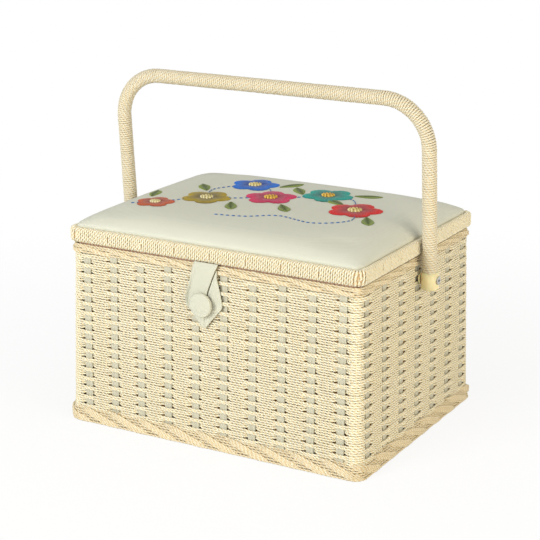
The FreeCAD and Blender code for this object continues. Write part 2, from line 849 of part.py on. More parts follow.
def makeWallLeaf():
    back = "mouth_out_y"
    plateTop = "hinge_z - knuckle_radius - seat_clearance"
    plateFoot, neckFoot = f"{plateTop} - hinge_leaf_height", f"{plateTop} - hinge_thick"
    neckDepth = f"hinge_y - knuckle_radius * 0.5 - {back}"
    neckHeight = f"hinge_z - knuckle_radius * 0.4 - ({neckFoot})"
    thick, height = "hinge_thick", "hinge_leaf_height"
    pieces = [hingeBox("wall_plate", "hinge_length", thick, height, "0", back, plateFoot)]
    for name, start in (("near", "0"), ("far", "2 * (knuckle_length + knuckle_gap)")):
        pieces.append(knuckle("wall_knuckle_" + name, start, "knuckle_length"))
        neck = "wall_neck_" + name
        pieces.append(hingeBox(neck, "knuckle_length", neckDepth, neckHeight, start, back, neckFoot))
    return fuse("wall_leaf_blank", *pieces)


def makeHinges():
    """Two butt hinges outside the back, leaves screwed to the lid's rim and to the mouth's border."""
    lidScrewZ = "hinge_z + knuckle_radius * 1.4 + hinge_leaf_height / 2"
    wallScrewZ = "mouth_border_bottom + 0.42 * mouth_border_height"
    lidHoles, lidScrews = makeScrews("lid", "lid_depth / 2", lidScrewZ)
    wallHoles, wallScrews = makeScrews("wall", "mouth_out_y", wallScrewZ)
    boreRadius = "hinge_pin_radius + running_clearance"
    bore = makeRod("hinge_bore", boreRadius, "lid_width", "0", "hinge_y", "hinge_z", toX)
    lidLeaf = cut("lid_leaf", makeLidLeaf(), fuse("lid_leaf_holes", bore, *lidHoles))
    wallLeaf = cut("wall_leaf", makeWallLeaf(), fuse("wall_leaf_holes", bore, *wallHoles))
    along = "hinge_spread - hinge_length / 2"
    pin = makeRod("hinge_pin", "hinge_pin_radius", "hinge_length", along, "hinge_y", "hinge_z", toX)
    return [
        pairOf("hinge_lid_leaves", lidLeaf),
        pairOf("hinge_wall_leaves", wallLeaf),
        pairOf("hinge_pins", pin),
        pairOf("hinge_lid_screws", group("lid_screw_pair", *lidScrews)),
        pairOf("hinge_wall_screws", group("wall_screw_pair", *wallScrews)),
    ]


def makeScrews(tag, back, height):
    """Two pan-head screws through one leaf, and the holes that they pass."""
    holes, screws = [], []
    face = f"{back} + hinge_thick"
    for name, side in (("near", "-"), ("far", "+")):
        x = f"hinge_spread {side} screw_spread / 2"
        label = f"{tag}_screw_{name}"
        holeRadius, holeFace = "screw_radius + running_clearance", f"{face} + hinge_thick / 2"
        hole = makeRod(label + "_hole", holeRadius, "2 * hinge_thick", x, holeFace, height, toFront)
        shank = makeRod(label + "_shank", "screw_radius", "screw_length", x, face, height, toFront)
        headFace = f"{face} + screw_head_thick"
        head = makeRod(label + "_head", "screw_head_radius", "screw_head_thick", x, headFace, height, toFront)
        holes.append(hole)
        screws.append(fuse(label, shank, head))
    return holes, screws


lidFrame = makeLidFrame()
nodes = [
    makeBaseBoard(),
    makePosts(),
    makeFrame(),
    makeStakes(),
    makeWeft(),
    makeFootBorder(),
    makeMouthBorder(),
    makeWallLining(),
    makeFloorLining(),
    *makeButton(),
    *makeRivets(),
    *makeHinges(),
    lidFrame,
    makeRimWinding(lidFrame),
    makeLidBoard(),
    makeLidLining(),
    makePad(),
    makeCover(),
    makeClasp(),
    *makeHandle(),
    makeFerrules(),
]
doc.recompute()

failed = [o.Label for o in doc.Objects if "Invalid" in o.State or "Error" in o.State]
failed += [n.Label for n in nodes if n.Shape.isNull() or not n.Shape.isValid() or not n.Shape.Solids]
if failed:
    raise RuntimeError("not built: " + ", ".join(failed))

os.makedirs("parts", exist_ok=True)
total = 0
for node in nodes:
    node.Shape.exportStep(f"parts/{node.Label}.step")
    mesh = MeshPart.meshFromShape(Shape=node.Shape.copy(), LinearDeflection=0.1, AngularDeflection=0.5)
    total += mesh.CountFacets
    volume = node.Shape.Volume / 1000
    print(f"{node.Label}: {len(node.Shape.Solids)} solids, {volume:.2f} cm3, {mesh.CountFacets} facets")
print(f"{len(nodes)} nodes, {total} facets")
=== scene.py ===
import math

import bpy
import numpy as np
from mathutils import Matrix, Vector
from mathutils.bvhtree import BVHTree


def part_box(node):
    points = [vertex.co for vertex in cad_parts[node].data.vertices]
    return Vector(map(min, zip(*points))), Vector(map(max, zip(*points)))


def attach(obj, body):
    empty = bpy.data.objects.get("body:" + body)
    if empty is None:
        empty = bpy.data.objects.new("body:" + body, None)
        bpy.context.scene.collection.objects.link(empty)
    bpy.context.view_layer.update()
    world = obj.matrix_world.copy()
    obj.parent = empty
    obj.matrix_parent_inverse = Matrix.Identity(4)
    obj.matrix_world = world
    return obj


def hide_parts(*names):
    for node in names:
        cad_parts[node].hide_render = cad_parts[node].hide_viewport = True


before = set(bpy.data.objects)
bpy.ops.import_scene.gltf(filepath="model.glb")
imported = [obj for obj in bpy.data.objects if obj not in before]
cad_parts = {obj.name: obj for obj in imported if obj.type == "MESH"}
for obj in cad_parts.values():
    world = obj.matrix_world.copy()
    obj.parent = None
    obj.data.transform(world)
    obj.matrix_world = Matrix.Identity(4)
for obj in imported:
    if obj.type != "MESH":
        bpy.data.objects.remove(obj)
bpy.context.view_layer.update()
mm = 0.001  # sizes below are millimetres, the scene is in metres
dice = np.random.default_rng(11)  # seeded, so every run lays the same cords
print("frame loaded")


def nodeBox(node):  # lowest and highest corner of a CAD node, in millimetres
    low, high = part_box(node)
    return np.array(low) / mm, np.array(high) / mm


# Colour and shader helpers

def linear(hexText):
    values = [int(hexText[i:i + 2], 16) / 255 for i in (1, 3, 5)]
    return tuple(v / 12.92 if v <= 0.04045 else ((v + 0.055) / 1.055) ** 2.4 for v in values) + (1.0,)


def feed(tree, socket, value):  # links another node's output, or sets a plain value
    if isinstance(value, bpy.types.NodeSocket):
        tree.links.new(value, socket)
    else:
        socket.default_value = value


def addNode(tree, kind, inputs=None, **settings):
    node = tree.nodes.new("ShaderNode" + kind)
    for name, value in settings.items():
        setattr(node, name, value)
    for name, value in (inputs or {}).items():
        feed(tree, node.inputs[name], value)
    return node


def newMaterial(name):
    material = bpy.data.materials.new(name)
    material.use_nodes = True
    tree = material.node_tree
    place = addNode(tree, "TexCoord").outputs["Object"]
    return material, tree, place


def noise(tree, place, grain, detail):  # grain in millimetres
    inputs = {"Vector": place, "Scale": 1 / (grain * mm), "Detail": detail}
    return addNode(tree, "TexNoise", inputs).outputs["Fac"]


def calc(tree, operation, first, second):
    return addNode(tree, "Math", {0: first, 1: second}, operation=operation).outputs[0]


def readMark(tree):  # the number that each vertex of a cord or thread carries: on a cord, how much painted shade it takes in the groove between the plies; on a thread, its share along the stitch
    return addNode(tree, "Attribute", attribute_name="mark").outputs["Fac"]


def blendColours(tree, factor, first, second):  # one colour over another, the RGBA sockets of a mix
    first, second = (linear(tone) if isinstance(tone, str) else tone for tone in (first, second))
    mix = addNode(tree, "Mix", {0: factor, 6: first, 7: second}, data_type="RGBA")
    return mix.outputs[2]


def stretch(tree, value, low, high, top=1.0):  # spreads a noise's middle band over 0 to top
    limits = {"Value": value, "From Min": low, "From Max": high, "To Max": top}
    return addNode(tree, "MapRange", limits).outputs["Result"]


def dress(material, colour, roughness, height, depth, **sockets):
    tree = material.node_tree
    shader = tree.nodes["Principled BSDF"]
    feed(tree, shader.inputs["Base Color"], colour)
    feed(tree, shader.inputs["Roughness"], roughness)
    for name, value in sockets.items():
        shader.inputs[name.replace("_", " ")].default_value = value
    bump = addNode(tree, "Bump", {"Height": height, "Distance": depth * mm, "Strength": 1.0})
    tree.links.new(bump.outputs["Normal"], shader.inputs["Normal"])
    return material


# Materials

def makePaperCord(name, pale, warm, deep):
    # twisted paper cord: matt cream fibres that vary at random towards a warmer tone, with painted shade,
    # the deep colour, laid into the groove where one ply sinks behind the other
    material, tree, place = newMaterial(name)
    fibre, patch = noise(tree, place, 1.6, 3.0), noise(tree, place, 30, 2.0)
    body = blendColours(tree, stretch(tree, fibre, 0.42, 0.68, 0.7), pale, warm)
    tone = blendColours(tree, stretch(tree, patch, 0.4, 0.75, 0.25), body, warm)
    # painted shade: the deep colour goes where the mark says a ply groove is
    colour = blendColours(tree, stretch(tree, readMark(tree), 0.25, 1.0, 0.65), tone, deep)
    return dress(material, colour, 0.62, fibre, 0.12, Specular_IOR_Level=0.3)


def makeStrip(name, pale, dark):
    # flat split-cane strip: grey beige with grain along its length
    material, tree, place = newMaterial(name)
    drawn = addNode(tree, "Mapping", {"Vector": place, "Scale": (1.0, 1.0, 0.04)}).outputs["Vector"]
    grain = noise(tree, drawn, 0.9, 4.0)
    colour = blendColours(tree, stretch(tree, grain, 0.35, 0.7), pale, dark)
    return dress(material, colour, 0.55, grain, 0.08, Specular_IOR_Level=0.35)


def makeCloth(name, pale, dark, thread, sheen, depth):
    # plain-woven cotton: crossing threads, a faint slub and a soft sheen
    material, tree, place = newMaterial(name)
    bands = 3.18  # a wave texture draws this many bands a unit at scale 1
    inputs = {"Vector": place, "Scale": 1 / (thread * mm) / bands, "Distortion": 1.2, "Detail": 1.0}
    waves = [addNode(tree, "TexWave", inputs, bands_direction=axis).outputs["Fac"] for axis in "XYZ"]
    weave = calc(tree, "ADD", calc(tree, "ADD", waves[0], waves[1]), waves[2])
    slub = noise(tree, place, 7, 4.0)
    mottle = calc(tree, "MULTIPLY", stretch(tree, weave, 0.6, 2.6, 0.5), slub)
    colour = blendColours(tree, mottle, pale, dark)
    soft = {"Sheen_Weight": sheen, "Sheen_Roughness": 0.4, "Specular_IOR_Level": 0.25}
    return dress(material, colour, 0.8, weave, depth, **soft)


def makeThread(name, pale, dark):
    # rayon embroidery thread: bright filaments with a silky highlight
    material, tree, place = newMaterial(name)
    strand = noise(tree, place, 0.8, 2.0)
    mixed = calc(tree, "ADD", strand, readMark(tree))
    colour = blendColours(tree, stretch(tree, mixed, 0.75, 1.35), dark, pale)
    return dress(material, colour, 0.45, strand, 0.06, Specular_IOR_Level=0.3)


def makeWood(name, pale, dark, grainWidth):
    # wood, cane and board: matt brown with grain drawn out along X
    material, tree, place = newMaterial(name)
    drawn = addNode(tree, "Mapping", {"Vector": place, "Scale": (0.06, 1.0, 1.0)}).outputs["Vector"]
    grain = noise(tree, drawn, grainWidth, 5.0)
    colour = blendColours(tree, stretch(tree, grain, 0.36, 0.66), pale, dark)
    return dress(material, colour, 0.6, grain, 0.1, Specular_IOR_Level=0.35)


def makePlastic(name, pale, dark):
    # injection-moulded polyethylene: cream, slightly see-through, fine satin skin
    material, tree, place = newMaterial(name)
    skin, cloud = noise(tree, place, 0.8, 2.0), noise(tree, place, 9, 2.0)
    colour = blendColours(tree, stretch(tree, cloud, 0.3, 0.7), pale, dark)
    inside = {"Subsurface_Weight": 0.25, "Subsurface_Scale": 3 * mm, "IOR": 1.5}
    return dress(material, colour, 0.42, skin, 0.02, **inside)


def makeSteel(name, pale, dark, rough):
    # plated steel: a mirror broken by fine turning marks and handling dullness
    material, tree, place = newMaterial(name)
    marks, wear = noise(tree, place, 0.5, 3.0), noise(tree, place, 4, 3.0)
    colour = blendColours(tree, stretch(tree, wear, 0.4, 0.8), pale, dark)
    limits = {"Value": wear, "To Min": rough * 0.7, "To Max": rough * 1.4}
    shine = addNode(tree, "MapRange", limits).outputs["Result"]
    return dress(material, colour, shine, marks, 0.01, Metallic=1.0)


# the third colour of each cord is the painted shade in its ply grooves
paperCord = makePaperCord("lacqueredPaperCord", "#E8E5D2", "#E6DFBA", "#D8B264")
# a darker copy of the wall's paper cord for the handle: painted shade that takes back the extra fill light
# falling on the handle
handleCordShadedCopy = makePaperCord("paperCordShadedForHandle", "#D9D4C1", "#D7CCAB", "#D2B57C")
borderCord = makePaperCord("plaitedPaperCord", "#DFD7BE", "#D9C99E", "#C89F58")
caneStrip = makeStrip("splitCaneStrip", "#C3C0AC", "#AFAB96")
coverCotton = makeCloth("wovenCoverCotton", "#CDCEBE", "#BEBFAD", 1.1, 0.08, 0.06)
claspCotton = makeCloth("pressedStrapCotton", "#C5C5B3", "#BABAA6", 0.9, 0.06, 0.04)
liningCotton = makeCloth("quiltedLiningCotton", "#E9E4D2", "#D5CFB8", 1.2, 0.15, 0.1)
# kraft card on the linings' backs: its own warm brown, made lighter so that the shaded gaps seen through the
# weave look brighter, which is painted light
kraftCardLightened = makeWood("kraftCardPaintedLighter", "#D9A55E", "#BE8A45", 1.4)
plainWood = makeWood("sandedPineWood", "#C9A48E", "#AE856E", 1.2)
rodWood = makeWood("turnedBeechRod", "#D8BE94", "#C09E6E", 0.9)
fibreBoard = makeWood("pressedFibreBoard", "#B08A5A", "#94703F", 2.0)
bentCane = makeWood("steamedCane", "#D2B37C", "#B58F52", 1.0)
ferrulePlastic = makePlastic("mouldedCreamPolyethylene", "#E6DBAC", "#DCCF9C")
platedSteel = makeSteel("nickelPlatedSteel", "#C9C7C0", "#8E8B84", 0.24)
rolledSteel = makeSteel("rolledBrassedSteel", "#C7AE74", "#94804E", 0.3)
print("materials made")

cadFinishes = [
    (caneStrip, ["wall_stakes"]),
    (plainWood, ["mouth_frame"]),
    (rodWood, ["corner_posts", "lid_frame"]),
    (fibreBoard, ["base_board", "lid_board"]),
    (bentCane, ["handle_core"]),
    (ferrulePlastic, ["handle_ferrules", "handle_spacers", "button_backing"]),
    (rolledSteel, ["hinge_lid_leaves", "hinge_wall_leaves"]),
    (platedSteel, ["hinge_pins", "hinge_lid_screws", "hinge_wall_screws", "handle_rivets", "inner_washers"]),
    (platedSteel, ["button_back", "button_shank"]),
]
for material, nodes in cadFinishes:
    for node in nodes:
        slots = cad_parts[node].data.materials
        slots.clear()
        slots.append(material)


# Mesh helpers, in millimetres

def newPiece(name, verts, faces, material, body, mark=None):
    mesh = bpy.data.meshes.new(name)
    mesh.vertices.add(len(verts))
    mesh.vertices.foreach_set("co", (np.asarray(verts) * mm).astype(np.float32).ravel())
    mesh.loops.add(faces.size)
    mesh.loops.foreach_set("vertex_index", faces.astype(np.int32).ravel())
    mesh.polygons.add(len(faces))
    mesh.polygons.foreach_set("loop_start", np.arange(0, faces.size, faces.shape[1], dtype=np.int32))
    mesh.update(calc_edges=True)
    mesh.shade_smooth()
    if mark is not None:  # a number at each vertex for the material to read
        numbers = mesh.attributes.new("mark", "FLOAT", "POINT")
        numbers.data.foreach_set("value", np.asarray(mark, np.float32))
    mesh.materials.append(material)
    piece = bpy.data.objects.new(name, mesh)
    bpy.context.scene.collection.objects.link(piece)
    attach(piece, body)
    return piece


def joinParts(parts):  # several meshes as one: vertices, faces and marks
    verts, faces, marks, count = [], [], [], 0
    for points, quads, mark in parts:
        verts.append(points)
        faces.append(quads + count)
        marks.append(mark)
        count += len(points)
    return np.concatenate(verts), np.concatenate(faces), np.concatenate(marks)


def applyModifiers(piece):
    ready = bpy.context.evaluated_depsgraph_get()
    finished = bpy.data.meshes.new_from_object(piece.evaluated_get(ready))
    piece.modifiers.clear()
    piece.data = finished
    finished.shade_smooth()


def soften(piece):
    smooth = piece.modifiers.new("softSkin", "SUBSURF")
    smooth.levels = smooth.render_levels = 1
    applyModifiers(piece)


def ringFaces(rings, sides, closed):
    ring = np.arange(rings if closed else rings - 1)[:, None]
    side = np.arange(sides)[None, :]
    after, beside = (ring + 1) % rings, (side + 1) % sides
    corners = [ring * sides + side, ring * sides + beside, after * sides + beside, after * sides + side]
    return np.stack(np.broadcast_arrays(*corners), -1).reshape(-1, 4)


def gridFaces(rows, columns):  # a grid's quads, and the vertices round its edge in order
    across = columns + 1
    u, v = np.arange(columns), np.arange(rows)
    cell = (v[:, None] * across + u).reshape(-1)
    quads = np.stack([cell, cell + 1, cell + across + 1, cell + across], -1)
    last = (rows + 1) * across - 1
    return quads, np.concatenate([u, v * across + columns, last - u, (rows - v) * across])


def rowsOf(x, y, z):  # grids of places as one list of points
    return np.stack([x, y, z], -1).reshape(-1, 3)


def unit(vectors):
    return vectors / np.linalg.norm(vectors, axis=1, keepdims=True)


def compass(angle):  # flat direction at an angle
    return np.stack([np.cos(angle), np.sin(angle)], -1)


def ease(share):  # 0 to 1 with a soft start and end
    return share * share * (3 - 2 * share)


def ramp(value, start, length):  # 0 at the start, 1 after the length
    return np.clip((value - start) / length, 0, 1)


def hump(value, middle, width):
    return np.exp(-((value - middle) / width) ** 2)


def distances(points):  # how far along a line each of its points lies
    steps = np.linalg.norm(np.diff(points, axis=0), axis=1)
    return np.concatenate([[0.0], np.cumsum(steps)])


def tube(path, across, upward, angle, reach):  # rings of points round a line
    around = np.cos(angle)[..., None] * across[:, None] + np.sin(angle)[..., None] * upward[:, None]
    return (path[:, None] + around * reach).reshape(-1, 3)


upright = np.array([0.0, 0.0, 1.0])
plyAngles = np.radians([0, 36, 90, 144, 180, 216, 270, 324])  # a two-ply outline, deep at 90 and 270
plyReach = np.array([1.0, 0.97, 0.8, 0.97, 1.0, 0.97, 0.8, 0.97])
# painted shade round the cord: none on the plies' crowns, full in the grooves between them
plyDipShade = np.array([0.0, 0.25, 1.0, 0.25, 0.0, 0.25, 1.0, 0.25])


def twistCord(points, guide, radius, lay, start, closed):
    # a two-ply cord along a line, its twist counted from the guide direction
    tangent = np.roll(points, -1, 0) - np.roll(points, 1, 0) if closed else np.gradient(points, axis=0)
    tangent = unit(tangent)
    across = unit(guide - tangent * np.sum(guide * tangent, 1, keepdims=True))
    along = distances(points)
    if closed:
        total = along[-1] + np.linalg.norm(points[0] - points[-1])
        lay = total / max(1, round(total / lay))  # whole turns, so that the ends meet
    angle = (2 * math.pi * along / lay + start)[:, None] + plyAngles
    reach = radius * np.tile(plyReach, (len(points), 1))
    if not closed:
        reach[[0, -1]] *= 0.1  # ends close to a point where they tuck in
    verts = tube(points, across, np.cross(tangent, across), angle, reach[..., None])
    # the last list is each vertex's share of the painted groove shade
    return verts, ringFaces(len(points), len(plyAngles), closed), np.tile(plyDipShade, len(points))


def anyTurn():  # where a cord's twist starts
    return dice.uniform(0, 6.28)


def cordPiece(name, cords, material, body, *nodes):
    # the cords' painted groove shade is stored on the mesh as its mark
    verts, faces, dipShades = joinParts(cords)
    piece = newPiece(name, verts, faces, material, body, dipShades)
    if nodes:
        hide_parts(*nodes)


def loopAround(halfX, halfY, corner, step):
    # a rounded rectangle seen from above, anticlockwise from the front's left end
    points, normals, along, total = [], [], [], 0.0
    for quarter in range(4):
        reach, away = (halfX, halfY) if quarter % 2 == 0 else (halfY, halfX)
        straight, arc = 2 * (reach - corner), corner * math.pi / 2
        count, bends = max(2, round(straight / step)), max(3, round(arc / step))
        t, b = np.arange(count) / count, np.arange(bends) / bends
        bendOut = compass((b - 1) * math.pi / 2)
        outward = np.concatenate([np.tile([0.0, -1.0], (count, 1)), bendOut])
        line = np.stack([straight * (t - 0.5), np.full(count, -away)], 1)
        bend = np.array([reach - corner, corner - away]) + corner * bendOut
        c, s = round(math.cos(quarter * math.pi / 2)), round(math.sin(quarter * math.pi / 2))
        turn = np.array([[c, s], [-s, c]])
        points.append(np.concatenate([line, bend]) @ turn)
        normals.append(outward @ turn)
        along.append(np.concatenate([total + straight * t, total + straight + arc * b]))
        total += straight + arc
    return np.concatenate(points), np.concatenate(normals), np.concatenate(along), total


def readLoop(columns, along, total, where):  # columns of values at distances along a closed loop
    along = np.append(along, total)
    return [np.interp(where, along, np.append(column, column[0])) for column in columns.T]


def onLoop(loop, where):  # points and outward normals at distances along a loop
    points, normals, along, total = loop
    where = np.mod(where, total)
    spots = np.stack(readLoop(points, along, total, where), 1)
    return spots, unit(np.stack(readLoop(normals, along, total, where), 1))


def wander(along, total, waves=(3, 7, 13)):  # slow hand-made unevenness, about 1 high
    turns = dice.uniform(0, 2 * math.pi, len(waves))
    return sum(np.sin(2 * math.pi * n * along / total + a) for n, a in zip(waves, turns)) / len(waves)


# Woven wall

wall = {
    "courses": 33,
    "cordRadius": 1.32,
    "girths": (0.95, 1.04),  # cords differ in thickness by this
    "lay": 9.5,
    "over": 1.95,  # a cord's place in front of a stake's middle, between stakes and behind one
    "between": 1.2,
    "behind": 1.75,
    "overWidth": 7.0,  # how far either side of a stake it stands out
    "squeeze": 0.42,  # two cords of a course close up by this over a stake
    "squeezeWidth": 6.0,
    "uneven": 0.16,
    "hold": 4.4,  # half the width it stays behind, and how far it takes to come out
    "climb": 5.5,
    "weaveHalf": 3.35,  # half the thickness of the weave in the frame
    "corner": 9.0,
    "flare": 4.5,
    "frameTop": 189.5,
    "frontStakes": 10,
    "sideStakes": 7,
    "frontMargin": 16.0,
    "sideMargin": 14.0,
    "step": 1.7,
    "bands": 6,
}


def wallHalf(height):
    low, high = nodeBox("weft_courses")
    spread = wall["flare"] * (height - low[2]) / wall["frameTop"]
    return high[0] - wall["weaveHalf"] - spread, high[1] - wall["weaveHalf"] - spread


def stakeDistances(halfX, halfY):
    corner, arc = wall["corner"], wall["corner"] * math.pi / 2
    topX, topY = wallHalf(wall["frameTop"])
    start, found = 0.0, []
    for quarter in range(4):
        front = quarter % 2 == 0
        half, number = (halfX, wall["frontStakes"]) if front else (halfY, wall["sideStakes"])
        reach = topX - wall["frontMargin"] if front else topY - wall["sideMargin"]
        found.append(start + half - corner + np.linspace(-reach, reach, number))
        start += 2 * (half - corner) + arc
    return np.concatenate(found), start


def weftCord(height, phase, side):
    halfX, halfY = wallHalf(height)
    points, normals, along, total = loopAround(halfX, halfY, wall["corner"], wall["step"])
    stakes, length = stakeDistances(halfX, halfY)
    stops = np.concatenate([[stakes[-1] - length], stakes, [stakes[0] + length]])
    place = np.searchsorted(stops, along, side="right") - 1
    before, after = along - stops[place], stops[place + 1] - along
    hides = (place + phase) % 2 == 0  # true where the cord goes behind the stake before it
    toHidden, toShown = np.where(hides, before, after), np.where(hides, after, before)
    out = ease(ramp(toHidden, wall["hold"], wall["climb"]))
    outer = wall["between"] + (wall["over"] - wall["between"]) * hump(toShown, 0, wall["overWidth"])
    offset = out * (outer + wall["behind"]) - wall["behind"]
    offset += wall["uneven"] * wander(along, total, (5, 11, 23, 61))
    lift = wall["uneven"] * wander(along, total, (4, 9, 19, 53))
    lift -= side * wall["squeeze"] * hump(toShown, 0, wall["squeezeWidth"])
    path = np.column_stack([points + normals * offset[:, None], height + lift])
    radius = wall["cordRadius"] * dice.uniform(*wall["girths"])
    return twistCord(path, upright, radius, wall["lay"], anyTurn(), True)


def makeWeft():
    low, high = nodeBox("weft_courses")
    pitch = (high[2] - low[2]) / wall["courses"]
    bands = [[] for _ in range(wall["bands"])]
    for course in range(wall["courses"]):
        middle = low[2] + pitch * (course + 0.5)
        band = bands[course * wall["bands"] // wall["courses"]]
        for side in (-1, 1):
            band.append(weftCord(middle + side * pitch / 4, course % 2, side))
    for number, cords in enumerate(bands):
        replaced = ["weft_courses"] if number == 0 else []
        cordPiece(f"weft_cords_{number + 1}", cords, paperCord, "basket", *replaced)


makeWeft()
print("wall woven")


# Plaited borders: bundles of cords that slant down and tuck behind the next bundle

mouthPlait = {
    "node": "mouth_border",
    "corner": 9.8,
    "cords": 2,
    "reach": 1.2,  # length of a bundle, in stake spacings
    "rise": 0.0,  # how far above the border it starts
    "tuck": 3.0,  # how far its upper end goes in, and its lower one
    "turnUnder": 1.8,
    "margin": 1.6,
    "spread": 2.4,
    "loose": 0.9,  # how unevenly the bundles stand up
    "cores": [(1.3, 1.9), (3.8, 1.7), (6.3, 1.7), (8.2, 2.2)],  # level cords behind: height and depth
}
footPlait = {
    "node": "foot_border",
    "corner": 13.7,
    "cords": 4,
    "reach": 1.4,
    "rise": 2.2,
    "tuck": 4.2,
    "turnUnder": 0.6,
    "margin": 2.4,
    "spread": 2.5,
    "loose": 0.3,
    "cores": [(1.4, 1.0), (3.9, 1.6), (6.4, 1.9), (8.9, 2.0), (11.4, 2.1), (13.6, 2.9), (15.0, 4.6)],
}
bothPlaits = {
    "step": 1.5,
    "fullness": 0.6,  # the smaller, the sooner a bundle stands out
    "pinch": 0.45,  # share of its spread left where a bundle tucks in
    "lag": 0.05,  # a cord trails the one above it by this share of a stake spacing
    "slip": 0.8,  # random shift along the border
    "stand": (-0.3, 1),  # range of the loose bundles' height
    "trim": 0.7,  # share of a cord's radius kept below the top
    "push": 0.5,  # random depth of a bundle, and of one cord in it
    "sink": 0.25,
    "coreSway": 0.2,
}


def makePlait(name, plait):
    low, high = nodeBox(plait["node"])
    hand, radius, lay = bothPlaits, wall["cordRadius"], wall["lay"]
    loop = loopAround(high[0] - radius, high[1] - radius, plait["corner"], hand["step"])
    bundles = 2 * (wall["frontStakes"] + wall["sideStakes"])
    spacing = loop[3] / bundles
    top = high[2] + plait["rise"]
    share = np.linspace(0, 1, round(plait["reach"] * spacing / wall["step"]))
    bulge = np.sin(math.pi * share) ** hand["fullness"]
    drop = (top - low[2] - 2 * plait["margin"]) * ease(share)
    tuck = np.where(share < 0.5, plait["tuck"], plait["turnUnder"])
    spread = plait["spread"] * (hand["pinch"] + (1 - hand["pinch"]) * bulge)
    cords = []
    for bundle in range(bundles):
        lift, push = plait["loose"] * dice.uniform(*hand["stand"]), hand["push"] * dice.random()
        for cord in range(plait["cords"]):
            rank = cord - (plait["cords"] - 1) / 2
            where = spacing * (bundle + plait["reach"] * share + hand["lag"] * rank)
            spots, outward = onLoop(loop, where + dice.uniform(-hand["slip"], hand["slip"]))
            height = top - plait["margin"] - drop - rank * spread
            height = np.clip(height, low[2] + radius, top - radius * hand["trim"]) + lift * (1 - share)
            depth = -tuck * (1 - bulge) - hand["sink"] * dice.random() - push
            path = np.column_stack([spots + outward * depth[:, None], height])
            cords.append(twistCord(path, upright, radius, lay, anyTurn(), False))
    for height, depth in plait["cores"]:
        inward = depth + hand["coreSway"] * wander(loop[2], loop[3])
        spots = loop[0] - loop[1] * inward[:, None]
        path = np.column_stack([spots, np.full(len(spots), low[2] + height)])
        cords.append(twistCord(path, upright, radius, lay, anyTurn(), True))
    cordPiece(name, cords, borderCord, "basket", plait["node"])


makePlait("mouth_plait", mouthPlait)
makePlait("foot_plait", footPlait)
print("borders plaited")


# Cord wound round the lid's rim

rim = {
    "band": 9.0,
    "corner": 11.0,
    "cordRadius": 1.28,
    "pitch": 2.36,
    "lay": 8.5,
    "edgeRound": 2.4,
    "samples": 27,
    "step": 0.5,  # spacing of the points along the rim, and round its section
    "sectionStep": 0.4,
    "sway": 0.18,  # unevenness along the rim, and outward
    "uneven": 0.2,
    "gapEvery": 40.0,  # a tied-in joint opens the turns a little here
    "gapOpen": 1.0,
    "gapWidth": 3.0,
    "gapHeight": 2.6,
    "parts": 2,
}


def makeRim():
    low, high = nodeBox("rim_winding")
    radius, half = rim["cordRadius"], rim["band"] / 2
    loop = loopAround(high[0] - half, high[1] - half, rim["corner"] - half, rim["step"])
    tall, length = (high[2] - low[2]) / 2, loop[3]
    section, _, ways, girth = loopAround(half - radius, tall - radius, rim["edgeRound"], rim["sectionStep"])
    turns = round(length / rim["pitch"])
    count = turns * rim["samples"]
    share = np.arange(count) / rim["samples"]
    inAway, inUp = readLoop(section, ways, girth, np.mod(share, 1.0) * girth)
    where = share * length / turns + rim["sway"] * wander(share, turns, (31, 67, 101))
    gaps = round(length / rim["gapEvery"])
    toGap = (np.mod(where / length * gaps + 0.5, 1.0) - 0.5) * (length / gaps)
    opened = np.sign(toGap) * np.exp(-np.abs(toGap) / rim["gapWidth"])
    opened *= hump(inUp, 0, rim["gapHeight"]) * (inAway > 0)
    spots, outward = onLoop(loop, where + rim["gapOpen"] * opened)
    middle = (low[2] + high[2]) / 2
    path = np.column_stack([spots + outward * inAway[:, None], middle + inUp])
    path[:, :2] += outward * (rim["uneven"] * wander(share, turns, (57, 133, 211)))[:, None]
    ahead = np.column_stack([-outward[:, 1], outward[:, 0], np.zeros(count)])
    part = count // rim["parts"]
    for number in range(rim["parts"]):
        reach = np.arange(number * part, (number + 1) * part + 1) % count
        cord = twistCord(path[reach], ahead[reach], radius, rim["lay"], number, False)
        replaced = ["rim_winding"] if number == 0 else []
        cordPiece(f"rim_cord_{number + 1}", [cord], paperCord, "lid", *replaced)


makeRim()
print("rim wound")


# Cord wound round the handle

handle = {
    "cordRadius": 1.32,
    "outside": 7.5,
    "corner": 47.0,
    "lean": 4.6,
    "foot": 6.0,
    "pitch": 2.35,
    "lay": 7.5,
    "samples": 25,
    "step": 0.5,
    "uneven": 0.12,
}


